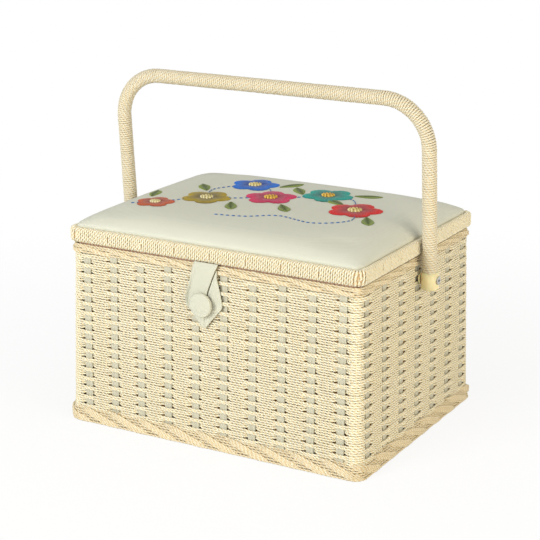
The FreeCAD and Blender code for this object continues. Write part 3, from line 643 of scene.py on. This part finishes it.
def makeHandle():
    _, high = nodeBox("handle_winding")
    pivot = sum(nodeBox("handle_rivets"))[2] / 2
    lean = math.radians(handle["lean"])
    leg = high[0] - handle["outside"]
    reach = (high[2] - handle["outside"] - pivot) / math.cos(lean)
    corner, foot, uneven = handle["corner"], handle["foot"], handle["uneven"]
    runs = [reach - corner - foot, corner * math.pi / 2, 2 * (leg - corner)]
    runs += runs[1::-1]
    ends = np.cumsum(runs)
    along = np.arange(0, ends[-1], handle["step"])
    # the hoop's middle line in its own plane: two legs, two bends and the bar between
    rise, first, cross, second, fall = (np.clip(along - end + run, 0, run) for end, run in zip(ends, runs))
    first, second = first / corner, second / corner
    x = leg - corner * (1 - np.cos(first)) - cross - corner * np.sin(second)
    h = foot + rise + corner * np.sin(first) - corner * (1 - np.cos(second)) - fall
    heading = math.pi / 2 + first + second
    # the cord's turns round that line
    turns = round(along[-1] / handle["pitch"])
    share = np.arange(turns * handle["samples"]) / handle["samples"]
    where = share / turns * along[-1] + uneven * wander(share, turns, (23, 41, 83))
    x, h, heading = (np.interp(where, along, values) for values in (x, h, heading))
    radius = handle["outside"] - handle["cordRadius"] + uneven * wander(share, turns, (9, 29, 71))
    turned = 2 * math.pi * share
    flatOut = radius * np.cos(turned)
    x, h = x + flatOut * np.sin(heading), h - flatOut * np.cos(heading)
    y = radius * np.sin(turned)
    c, s = math.cos(lean), math.sin(lean)
    path = np.column_stack([x, y * c - h * s, pivot + y * s + h * c])
    ahead = np.column_stack([np.cos(heading), -np.sin(heading) * s, np.sin(heading) * c])
    cord = twistCord(path, ahead, handle["cordRadius"], handle["lay"], 0.0, False)
    # the handle's cord takes the darker copy of the paper cord, with its painted shade
    cordPiece("handle_cord", [cord], handleCordShadedCopy, "handle", "handle_winding")


makeHandle()
print("handle wound")


# Padded lid

cushion = {
    "overhang": 6.0,  # the cloth swells over the rim's top by this
    "seat": 0.3,
    "lip": 0.2,  # thickness of the cloth's edge where it turns under
    "crest": 1.2,  # how far the filling's middle lies below the highest point
    "slope": 10.5,  # how far in from an edge most of the height is reached
    "voxel": 4.0,
    "pressure": 4.0,
    "stiffness": 40.0,
    "bending": 10.0,
    "quality": 6,
    "held": 5.0,  # height of the foot that stays in place while the rest swells
    "frames": 20,
    "cap": 1.2,  # most that it may swell, and what it may pass its sides by
    "spare": 0.5,
    "smoothing": 20,
    "grid": 3.0,
}


def crownShare(x, y, halfX, halfY):  # 0 at the edges, nearly 1 over the middle
    inX, inY = (halfX - np.abs(x)) / cushion["slope"], (halfY - np.abs(y)) / cushion["slope"]
    return (1 - np.exp(-inX)) * (1 - np.exp(-inY))


def makeCushion():
    low, high = nodeBox("lid_cover")
    over = cushion["overhang"]
    halfX, halfY = high[0] + over, high[1] + over
    base = nodeBox("rim_winding")[1][2] + cushion["seat"]
    rise = high[2] - cushion["crest"] - base
    columns, rows = (round(2 * half / cushion["grid"]) for half in (halfX, halfY))
    x, y = np.meshgrid(np.linspace(-halfX, halfX, columns + 1), np.linspace(-halfY, halfY, rows + 1))
    top = rowsOf(x, y, base + rise * crownShare(x, y, halfX, halfY))
    under = top * [1 - over / halfX, 1 - over / halfY, 0]
    bottom = under + [0, 0, low[2]]
    under[:, 2] = base - cushion["lip"]
    upper, ring = gridFaces(rows, columns)
    after, count, size = np.roll(ring, -1), len(ring), len(top)
    lip, lipNext = size + np.arange(count), size + (np.arange(count) + 1) % count
    lower = upper[:, ::-1] + size + count
    skirt = np.concatenate([
        np.stack([ring, lip, lipNext, after], -1),
        np.stack([lip, ring + size + count, after + size + count, lipNext], -1),
    ])
    verts = np.concatenate([top, under[ring], bottom])
    faces = np.concatenate([upper, lower, skirt])
    piece = newPiece("lid_cushion", verts, faces, coverCotton, "lid")
    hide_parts("lid_cover", "lid_pad")
    swell(piece, low, high)
    soften(piece)
    return piece


def corners(piece):  # a mesh's vertices, in metres
    return np.array([v.co for v in piece.data.vertices])


def swell(piece, low, high):
    remesh = piece.modifiers.new("evenSkin", "REMESH")
    remesh.mode, remesh.voxel_size = "VOXEL", cushion["voxel"] * mm
    applyModifiers(piece)
    before = corners(piece)
    held = piece.vertex_groups.new(name="heldEdge")
    foot = (low[2] + cushion["held"]) * mm
    held.add([i for i, co in enumerate(before) if co[2] < foot], 1.0, "REPLACE")
    cloth = piece.modifiers.new("fill", "CLOTH")
    settings = cloth.settings
    settings.quality = cushion["quality"]
    settings.tension_stiffness = settings.compression_stiffness = cushion["stiffness"]
    settings.bending_stiffness = cushion["bending"]
    settings.use_pressure = True
    settings.uniform_pressure_force = cushion["pressure"]
    settings.effector_weights.gravity = 0
    settings.vertex_group_mass = "heldEdge"
    cloth.point_cache.frame_start, cloth.point_cache.frame_end = 1, cushion["frames"]
    for number in range(1, cushion["frames"] + 1):
        bpy.context.scene.frame_set(number)
    applyModifiers(piece)
    bpy.context.scene.frame_set(1)
    move = corners(piece) - before
    edges = np.array([e.vertices[:] for e in piece.data.edges])
    ends = np.concatenate([edges, edges[:, ::-1]])
    number = np.bincount(ends[:, 0], minlength=len(move))[:, None]
    for _ in range(cushion["smoothing"]):  # evens out the swelling, not the form
        beside = [np.bincount(ends[:, 0], move[ends[:, 1], k], len(move)) for k in range(3)]
        move = np.stack(beside, 1) / number
    far = np.linalg.norm(move, axis=1, keepdims=True)
    after = before + move * np.minimum(1, cushion["cap"] * mm / np.maximum(far, 1e-9))
    spare = np.array([1, 1, 0]) * (cushion["overhang"] + cushion["spare"])
    after = np.clip(after, (low - spare) * mm, (high + spare) * mm)
    piece.data.vertices.foreach_set("co", after.astype(np.float32).ravel())
    piece.vertex_groups.clear()
    print(f"cushion swelled by up to {far.max() / mm:.1f} mm")


lidCushion = makeCushion()
print("lid padded")


# Embroidered sprays on the lid

creamHeart = ("#E9E1B8", "#B9A862")
strawHeart = ("#EADFA8", "#BFA75C")
goldHeart = ("#E8C35A", "#B78A2C")
blooms = [
    {"at": (-108, -56), "size": 20, "turn": 30, "petal": ("#B85630", "#8A3A1C"), "heart": creamHeart},
    {"at": (-72, -14), "size": 26, "turn": 10, "petal": ("#A08A16", "#66560A"), "heart": creamHeart},
    {"at": (-56, 58), "size": 26, "turn": 25, "petal": ("#0E66C2", "#073A86"), "heart": strawHeart},
    {"at": (-14, 18), "size": 27, "turn": 40, "petal": ("#C42858", "#8E1238"), "heart": goldHeart},
    {"at": (34, 54), "size": 27, "turn": 0, "petal": ("#189486", "#0A6258"), "heart": goldHeart},
    {"at": (86, 12), "size": 28, "turn": 18, "petal": ("#C61A14", "#8A0A08"), "heart": strawHeart},
]
stitch = {"sides": 6, "lift": 0.3, "roundness": 0.7}  # what every stitch shares
petalStitch = {
    "petals": 5,
    "threads": 37,
    "fan": 33,  # half a petal's angle
    "droop": 0.3,  # its outer stitches are shorter by this share
    "inner": 0.24,
    "bow": 0.18,
    "lengths": (0.97, 1.02),
    "points": 7,
    "thick": 0.45,
    "arch": 0.8,
}
heartStitch = {
    "rings": ((0.0, 1), (0.12, 6), (0.22, 11)),  # knots side by side: distance out, and number
    "half": 1.2,
    "points": 5,
    "thick": 0.85,
    "arch": 1.4,
}
leafStitch = {
    "pale": "#7C8E3C",
    "dark": "#47551E",
    "long": 30.0,
    "wide": 12.0,
    "threads": 32,
    "back": 0.12,  # the leaf starts this share of its length before its point
    "slant": 0.9,
    "ends": (0.03, 0.97),
    "fullness": 0.8,
    "points": 5,
    "thick": 0.42,
    "arch": 0.5,
}
stemStitch = {
    "pale": "#3C78B8",
    "dark": "#1F4A7C",
    "dash": 4.2,
    "gap": 1.6,
    "step": 0.4,
    "samples": 60,  # points between two stops of a stem, before they are evened out
    "thick": 0.55,
    "arch": 0.3,
}
leaves = [  # a point and a heading
    (-126, -34, 110), (-90, 14, 130), (-38, -22, 300),
    (-26, 64, 60), (12, -6, 310), (6, 48, 130),
    (62, 66, 20), (64, 26, 150), (110, -10, 300),
]
stems = [
    [
        (-128, -70), (-108, -56), (-90, -34), (-72, -14), (-44, -2),
        (-14, 18), (12, 34), (34, 54), (66, 48), (86, 12),
    ],
    [(-72, -14), (-84, 22), (-56, 58), (-34, 50), (-14, 18)],
    [(86, 12), (100, -26), (72, -52), (30, -44), (2, -62), (-30, -70)],
]


def surfaceFinder(piece):  # the cloth's height at a point, by a ray from above
    mesh = piece.data
    tree = BVHTree.FromPolygons([v.co for v in mesh.vertices], [p.vertices for p in mesh.polygons])
    above, down = 0.4, Vector((0, 0, -1))
    return lambda x, y: tree.ray_cast(Vector((x * mm, y * mm, above)), down)[0].z / mm


lidTop = surfaceFinder(lidCushion)


def layThread(points, kind):
    # one stitch: a fine tube that rises from the cloth and dives back
    share = np.linspace(0, 1, len(points))
    arch = kind["arch"] * np.sin(math.pi * share) ** stitch["roundness"]
    height = np.array([lidTop(x, y) for x, y in points]) + kind["thick"] * stitch["lift"] + arch
    path = np.column_stack([points, height])
    tangent = unit(np.gradient(path, axis=0))
    across = unit(np.cross(tangent, upright))
    sides = stitch["sides"]
    angle = 2 * math.pi * np.arange(sides) / sides
    verts = tube(path, across, np.cross(across, tangent), angle, kind["thick"])
    return verts, ringFaces(len(points), sides, False)[:, ::-1], np.repeat(share, sides)


def threadPiece(name, threads, pale, dark):
    verts, faces, shares = joinParts(threads)
    newPiece(name, verts, faces, makeThread(name + "_rayon", pale, dark), "lid", shares)


def petalThreads(bloom):
    kind, size, fan = petalStitch, bloom["size"], petalStitch["fan"]
    threads = []
    for petal in range(kind["petals"]):
        middle = bloom["turn"] + 360 / kind["petals"] * petal
        for spread in np.linspace(-fan, fan, kind["threads"]):
            bow = math.radians(spread * kind["bow"]) * np.linspace(0, 1, kind["points"])
            outer = size * (1 - kind["droop"] * (spread / fan) ** 2) * dice.uniform(*kind["lengths"])
            reach = np.linspace(size * kind["inner"], outer, kind["points"])[:, None]
            spots = np.array(bloom["at"]) + reach * compass(math.radians(middle + spread) + bow)
            threads.append(layThread(spots, kind))
    return threads


def heartThreads(bloom):
    reach = np.linspace(-heartStitch["half"], heartStitch["half"], heartStitch["points"])[:, None]
    threads = []
    for ring, number in heartStitch["rings"]:
        for knot in range(number):
            angle = 2 * math.pi * knot / number
            spot = np.array(bloom["at"]) + bloom["size"] * ring * compass(angle)
            threads.append(layThread(spot + reach * compass(angle + math.pi / 3), heartStitch))
    return threads


def leafThreads(x, y, heading):
    ahead, beside = compass(math.radians(heading)), compass(math.radians(heading + 90))
    way = np.linspace(0, 1, leafStitch["points"])[:, None]
    threads = []
    for side in (-1, 1):
        for share in np.linspace(*leafStitch["ends"], leafStitch["threads"]):
            width = leafStitch["wide"] / 2 * math.sin(math.pi * share ** leafStitch["fullness"])
            start = np.array([x, y]) + ahead * leafStitch["long"] * (share - leafStitch["back"])
            sweep = ahead * width * leafStitch["slant"] + beside * side * width
            threads.append(layThread(start + way * sweep, leafStitch))
    return threads


def smoothLine(stops, step):
    # an even curve through given points
    spots = np.array(stops, float)
    ends = np.concatenate([[2 * spots[0] - spots[1]], spots, [2 * spots[-1] - spots[-2]]])
    t = np.linspace(0, 1, stemStitch["samples"], endpoint=False)[:, None]
    curve = []
    for a, b, c, d in zip(ends, ends[1:], ends[2:], ends[3:]):
        square, cube = 2 * a - 5 * b + 4 * c - d, 3 * b - a - 3 * c + d
        curve.append(0.5 * (2 * b + (c - a) * t + square * t ** 2 + cube * t ** 3))
    line = np.concatenate(curve + [spots[-1:]])
    along = distances(line)
    where = np.arange(0, along[-1], step)
    return np.stack([np.interp(where, along, line[:, k]) for k in (0, 1)], 1)


def stemThreads():
    step = stemStitch["step"]
    dash, period = round(stemStitch["dash"] / step), round((stemStitch["dash"] + stemStitch["gap"]) / step)
    threads = []
    for stops in stems:
        line = smoothLine(stops, step)
        for start in range(0, len(line) - dash, period):
            threads.append(layThread(line[start:start + dash:2], stemStitch))
    return threads


def makeEmbroidery():
    for number, bloom in enumerate(blooms):
        threadPiece(f"bloom_{number + 1}", petalThreads(bloom), *bloom["petal"])
        threadPiece(f"bloom_heart_{number + 1}", heartThreads(bloom), *bloom["heart"])
    stitched = [thread for leaf in leaves for thread in leafThreads(*leaf)]
    threadPiece("stitched_leaves", stitched, leafStitch["pale"], leafStitch["dark"])
    threadPiece("stitched_stems", stemThreads(), stemStitch["pale"], stemStitch["dark"])


makeEmbroidery()
print("lid embroidered")


# Cloth clasp: a strap folded to a point, its left leg over its right one

clasp = {
    "columns": 28,
    "rows": 60,
    "thick": 0.9,
    "inset": 0.1,  # the cloth starts this far behind its solid's front
    "flat": (0.026, 0.1),  # the strap laid out, in metres
    "flatArea": 0.00195,
    "stagger": 1.6,  # the left leg lies this far in front of the right one, a share of it at the point
    "leastStagger": 0.1,
    "staggerFrom": (127, 20),  # the height where a form starts, and how far it takes
    "rollTop": (188, -30),
    "rollFoot": (143, 7),
    "turnBack": 2.2,  # the top goes back under the rim
    "turnFrom": (184, 6),
    "groove": (3.2, 2.5, 1.4),  # hollow behind the rolled left edge: depth, how far in, half width
    "bulge": (0.7, 5, 3),  # the right leg swells beside the left one
    "bulgeFrom": (130, 15),
    "innerLip": (0.5, 0.8),  # an edge bends back: depth and width
    "outerLip": (0.4, 0.8),
    "curl": (0.9, 2.5),
    "leftOuter": [  # edges: height, and distance from the strap's middle
        (190.6, -10.7), (183, -12), (175, -14), (165, -17), (157, -19.6),
        (152, -20.3), (147, -19), (136, -10), (125, 0.3),
    ],
    "leftInner": [
        (190.6, 16.3), (186, 14.8), (182, 12.9), (175, 10), (163, 5.2),
        (150, 2.2), (136, 1.5), (125, 1.3),
    ],
    "rightInner": [
        (184, 14.4), (180, 12.6), (175, 10.6), (163, 6), (150, 2.7), (136, 1.7), (125, 1.3),
    ],
    "rightOuter": [
        (184, 14.9), (178, 14.6), (165, 17.5), (155, 19.6), (149, 20.4),
        (145.5, 19.2), (136, 10.9), (125, 2.3),
    ],
}


def fold(away, depth, middle, width):
    return depth * hump(away, middle, width)


def bent(away, depth, width):
    return depth * np.exp(-away / width)


def edgeAt(edge, heights):
    places = sorted(edge)
    return np.interp(heights, [p[0] for p in places], [p[1] for p in places])


def legSheet(outer, inner):
    low, high = nodeBox("clasp_loop")
    columns, rows = clasp["columns"], clasp["rows"]
    middle = (low[0] + high[0]) / 2
    heights = np.linspace(outer[0][0], outer[-1][0], rows)
    share = np.linspace(0, 1, columns)
    left, right = middle + edgeAt(outer, heights)[:, None], middle + edgeAt(inner, heights)[:, None]
    x = left * (1 - share) + right * share
    return x, np.repeat(heights[:, None], columns, 1), np.abs(x - left), np.abs(right - x)


def thickSheet(x, y, z):
    # a closed cloth layer: a face, its back and the turned edge between them
    rows, columns = x.shape
    face = rowsOf(x, y, z)
    back = face + [0, clasp["thick"], 0]
    front, ring = gridFaces(rows - 1, columns - 1)
    behind = front[:, ::-1] + len(face)
    after = np.roll(ring, -1)
    side = np.stack([after, ring, ring + len(face), after + len(face)], -1)
    return np.concatenate([face, back]), np.concatenate([front[:, ::-1], behind[:, ::-1], side[:, ::-1]])


def makeClasp():
    front = nodeBox("clasp_loop")[0][1] + clasp["inset"]
    x, z, fromOuter, fromInner = legSheet(clasp["leftOuter"], clasp["leftInner"])
    rolled = ramp(z, *clasp["rollTop"]) * ramp(z, *clasp["rollFoot"])
    y = front + fold(fromOuter, *clasp["groove"]) * rolled + bent(fromInner, *clasp["innerLip"])
    y += bent(fromOuter, *clasp["outerLip"]) * (1 - rolled)
    y += clasp["turnBack"] * ramp(z, *clasp["turnFrom"]) ** 2
    left = thickSheet(x, y, z)
    x, z, fromOuter, fromInner = legSheet(clasp["rightOuter"], clasp["rightInner"])
    y = front + clasp["stagger"] * np.maximum(ramp(z, *clasp["staggerFrom"]), clasp["leastStagger"])
    y += bent(fromOuter, *clasp["curl"])
    y -= fold(fromInner, *clasp["bulge"]) * ramp(z, *clasp["bulgeFrom"])
    right = thickSheet(x, y, z)
    verts = np.concatenate([left[0], right[0]])
    faces = np.concatenate([left[1], right[1][:, ::-1] + len(left[0])])
    piece = newPiece("clasp_strap", verts, faces, claspCotton, "clasp")
    soften(piece)
    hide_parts("clasp_loop")


makeClasp()


# Covered button

button = {
    "sides": 72,
    "faceRings": 10,
    "edgeRings": 7,
    "flat": 0.86,  # shares of its radius and depth
    "dome": 0.16,
    "edge": 0.4,
    "backReach": [0.995, 0.97, 0.93, 0.001],
    "backDepth": [0.3, 0.12, 0.0, 0.0],
}


def makeButton():
    low, high = nodeBox("button_cap")
    centre = (low + high) / 2
    radius, deep = (high[0] - low[0]) / 2, high[1] - low[1]
    sides, flat, dome = button["sides"], button["flat"], button["dome"]
    out = np.linspace(0.001, 1, button["faceRings"])
    turn = np.linspace(0, math.pi / 2, button["edgeRings"] + 1)[1:]
    reach = np.concatenate([flat * out, flat + (1 - flat) * np.sin(turn), button["backReach"]])
    shoulder = 1 - dome - button["edge"] * (1 - np.cos(turn))
    forward = np.concatenate([1 - dome * out ** 2, shoulder, button["backDepth"]])
    reach, forward = radius * reach[:, None], deep * forward[:, None]
    angle = np.linspace(0, 2 * math.pi, sides, endpoint=False)
    x, z = centre[0] + reach * np.cos(angle), centre[2] + reach * np.sin(angle)
    y = np.repeat(high[1] - forward, sides, 1)
    verts, faces = rowsOf(x, y, z), ringFaces(len(reach), sides, False)
    piece = newPiece("covered_button", verts, faces, claspCotton, "basket")
    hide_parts("button_cap")


makeButton()
print("clasp and button made")


# Linings

lining = {
    "grid": 6.0,
    "soft": 0.45,  # share of the thickness that the quilting sinks by
    "flatShare": 0.35,  # height left along the stitched lines
    "edge": 6.0,  # the padding thins out this far from a panel's edge
    "diamond": 46.0,
    "thick": 2.0,
    "cornerGap": 5.45,  # wall panels stop at the corner posts
    "floorInset": 4.6,
}


def paddedPanel(low, high, axis, sign):
    # a closed quilted panel inside its solid's box, its cloth side towards the sign on the axis
    u, v = [k for k in range(3) if k != axis]
    columns, rows = (max(4, round((high[k] - low[k]) / lining["grid"])) for k in (u, v))
    a, b = np.meshgrid(np.linspace(low[u], high[u], columns + 1), np.linspace(low[v], high[v], rows + 1))
    edge = np.minimum.reduce([a - low[u], high[u] - a, b - low[v], high[v] - b])
    lines = [np.sin(math.pi * way / lining["diamond"]) for way in (a + b, a - b)]
    quilt = np.abs(lines[0] * lines[1]) ** 0.5
    rise = ramp(edge, 0, lining["edge"]) ** 0.5 * (lining["flatShare"] + (1 - lining["flatShare"]) * quilt)
    cloth = (high[axis] - low[axis]) * (1 - lining["soft"] * (1 - rise))
    front, back = np.zeros(a.shape + (3,)), np.zeros(a.shape + (3,))
    for grid in (front, back):
        grid[..., u], grid[..., v] = a, b
    front[..., axis] = (low[axis] + cloth) if sign > 0 else (high[axis] - cloth)
    back[..., axis] = low[axis] if sign > 0 else high[axis]
    quads, ring = gridFaces(rows, columns)
    after, count = np.roll(ring, -1), a.size
    side = np.stack([ring, ring + count, after + count, after], -1)
    flip = (sign > 0) == (axis == 1)
    parts = [quads, quads[:, ::-1] + count, side]
    faces = np.concatenate([part[:, ::-1] if flip else part for part in parts])
    backs = np.concatenate([np.zeros(len(quads)), np.ones(len(quads)), np.zeros(len(side))])
    return np.concatenate([front.reshape(-1, 3), back.reshape(-1, 3)]), faces, backs


def makeLining(name, node, body, panels):
    verts, faces, backs = joinParts([paddedPanel(*panel) for panel in panels])
    piece = newPiece(name, verts, faces, liningCotton, body)
    # the backs take the kraft card that is painted lighter for the shaded gaps
    piece.data.materials.append(kraftCardLightened)
    piece.data.polygons.foreach_set("material_index", backs.astype(np.int32))
    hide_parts(node)


def makeLinings():
    low, high = nodeBox("wall_lining")
    cornerX, cornerY = (high[k] - lining["cornerGap"] for k in (0, 1))
    thick = lining["thick"]
    makeLining("wall_lining_cloth", "wall_lining", "basket", [
        ((-cornerX, low[1], low[2]), (cornerX, low[1] + thick, high[2]), 1, 1),
        ((-cornerX, high[1] - thick, low[2]), (cornerX, high[1], high[2]), 1, -1),
        ((low[0], -cornerY, low[2]), (low[0] + thick, cornerY, high[2]), 0, 1),
        ((high[0] - thick, -cornerY, low[2]), (high[0], cornerY, high[2]), 0, -1),
    ])
    low, high = nodeBox("floor_lining")
    inset = lining["floorInset"] * np.array([1, 1, 0])
    makeLining("floor_lining_cloth", "floor_lining", "basket", [(low + inset, high - inset, 2, 1)])
    low, high = nodeBox("lid_lining")
    makeLining("lid_lining_cloth", "lid_lining", "lid", [(low, high, 2, -1)])


makeLinings()
print("linings made")


# Floor, light and camera

studio = {
    "floor": "#F4F4F2",
    "floorHalf": 9000,
    "fadeFrom": 0.25,  # metres from the middle where the shadow starts to die out, and where it is gone
    "fadeTo": 0.8,
    "floorGlow": 0.85,  # share of plain white close by
    "aim": (0, 0, 120),  # where the lamps point
    "sky": 0.5,
}
lamps = [
    {"name": "keyLamp", "power": 28.5, "at": (-450, -1850, 880), "size": 1100, "tint": "#FFFFFF"},
    {"name": "fillLamp", "power": 17.0, "at": (1700, -500, 650), "size": 1400, "tint": "#FFF3DC"},
    {"name": "topLamp", "power": 2.0, "at": (0, 300, 1700), "size": 1200, "tint": "#FFFFFF"},
]


def seenRays(tree):  # 1 for what the camera sees, straight on or in metal and glass
    path = addNode(tree, "LightPath").outputs
    first = calc(tree, "MAXIMUM", path["Is Camera Ray"], path["Is Glossy Ray"])
    return calc(tree, "MAXIMUM", first, path["Is Transmission Ray"])


def makeFloor():
    size = studio["floorHalf"]
    verts = np.array([(-size, -size, 0), (size, -size, 0), (size, size, 0), (-size, size, 0)]) * mm
    mesh = bpy.data.meshes.new("studioFloor")
    mesh.from_pydata(verts.tolist(), [], [(0, 1, 2, 3)])
    floor = bpy.data.objects.new("studio_floor", mesh)
    bpy.context.scene.collection.objects.link(floor)
    # white paper sweep: takes a faint shadow close to the part and dies out into plain white
    material = bpy.data.materials.new("paperSweep")
    material.use_nodes = True
    tree = material.node_tree
    tree.nodes.clear()
    paper = addNode(tree, "BsdfDiffuse", {"Color": linear(studio["floor"])}).outputs[0]
    glow = addNode(tree, "Emission", {"Color": (1, 1, 1, 1), "Strength": 1.0}).outputs[0]
    place = addNode(tree, "TexCoord").outputs["Object"]
    away = addNode(tree, "VectorMath", {0: place}, operation="LENGTH").outputs["Value"]
    limits = {"Value": away, "From Min": studio["fadeFrom"], "From Max": studio["fadeTo"]}
    limits |= {"To Min": studio["floorGlow"], "To Max": 1.0}
    fade = addNode(tree, "MapRange", limits).outputs["Result"]
    share = calc(tree, "MULTIPLY", seenRays(tree), fade)
    mixed = addNode(tree, "MixShader", {0: share, 1: paper, 2: glow}).outputs[0]
    addNode(tree, "OutputMaterial", {"Surface": mixed})
    mesh.materials.append(material)


def makeSky():
    world = bpy.data.worlds.new("softSky")
    bpy.context.scene.world = world
    world.use_nodes = True
    tree = world.node_tree
    tree.nodes.clear()
    limits = {"Value": seenRays(tree), "To Min": studio["sky"], "To Max": 1.0}
    strength = addNode(tree, "MapRange", limits).outputs["Result"]
    sky = addNode(tree, "Background", {"Color": (1, 1, 1, 1), "Strength": strength}).outputs[0]
    addNode(tree, "OutputWorld", {"Surface": sky})


def makeLamp(name, power, at, size, tint):
    lamp = bpy.data.lights.new(name, "AREA")
    lamp.energy, lamp.shape, lamp.size = power, "DISK", size * mm
    lamp.color = linear(tint)[:3]
    piece = bpy.data.objects.new(name, lamp)
    piece.location = Vector(at) * mm
    aim = Vector(studio["aim"]) * mm - piece.location
    piece.rotation_euler = aim.to_track_quat("-Z", "Y").to_euler()
    bpy.context.scene.collection.objects.link(piece)


view = {
    "lens": 104.83,
    "sensor": 36,
    "azimuth": 29.65,
    "elevation": 16.48,
    "distance": 1625,
    "target": (-4.84, 0, 149.44),
    "farthest": 60,  # metres
}


def makeCamera():
    lens = bpy.data.cameras.new("photoView")
    lens.lens, lens.sensor_width = view["lens"], view["sensor"]
    lens.clip_end = view["farthest"]
    camera = bpy.data.objects.new("photo_view", lens)
    az, el = math.radians(view["azimuth"]), math.radians(view["elevation"])
    back = Vector((math.sin(az) * math.cos(el), -math.cos(az) * math.cos(el), math.sin(el)))
    camera.location = (Vector(view["target"]) + back * view["distance"]) * mm
    camera.rotation_euler = back.to_track_quat("Z", "Y").to_euler()
    bpy.context.scene.collection.objects.link(camera)
    bpy.context.scene.camera = camera


makeFloor()
makeSky()
for lamp in lamps:
    makeLamp(**lamp)
makeCamera()
bpy.context.scene.view_settings.view_transform = "Standard"
print("studio set")
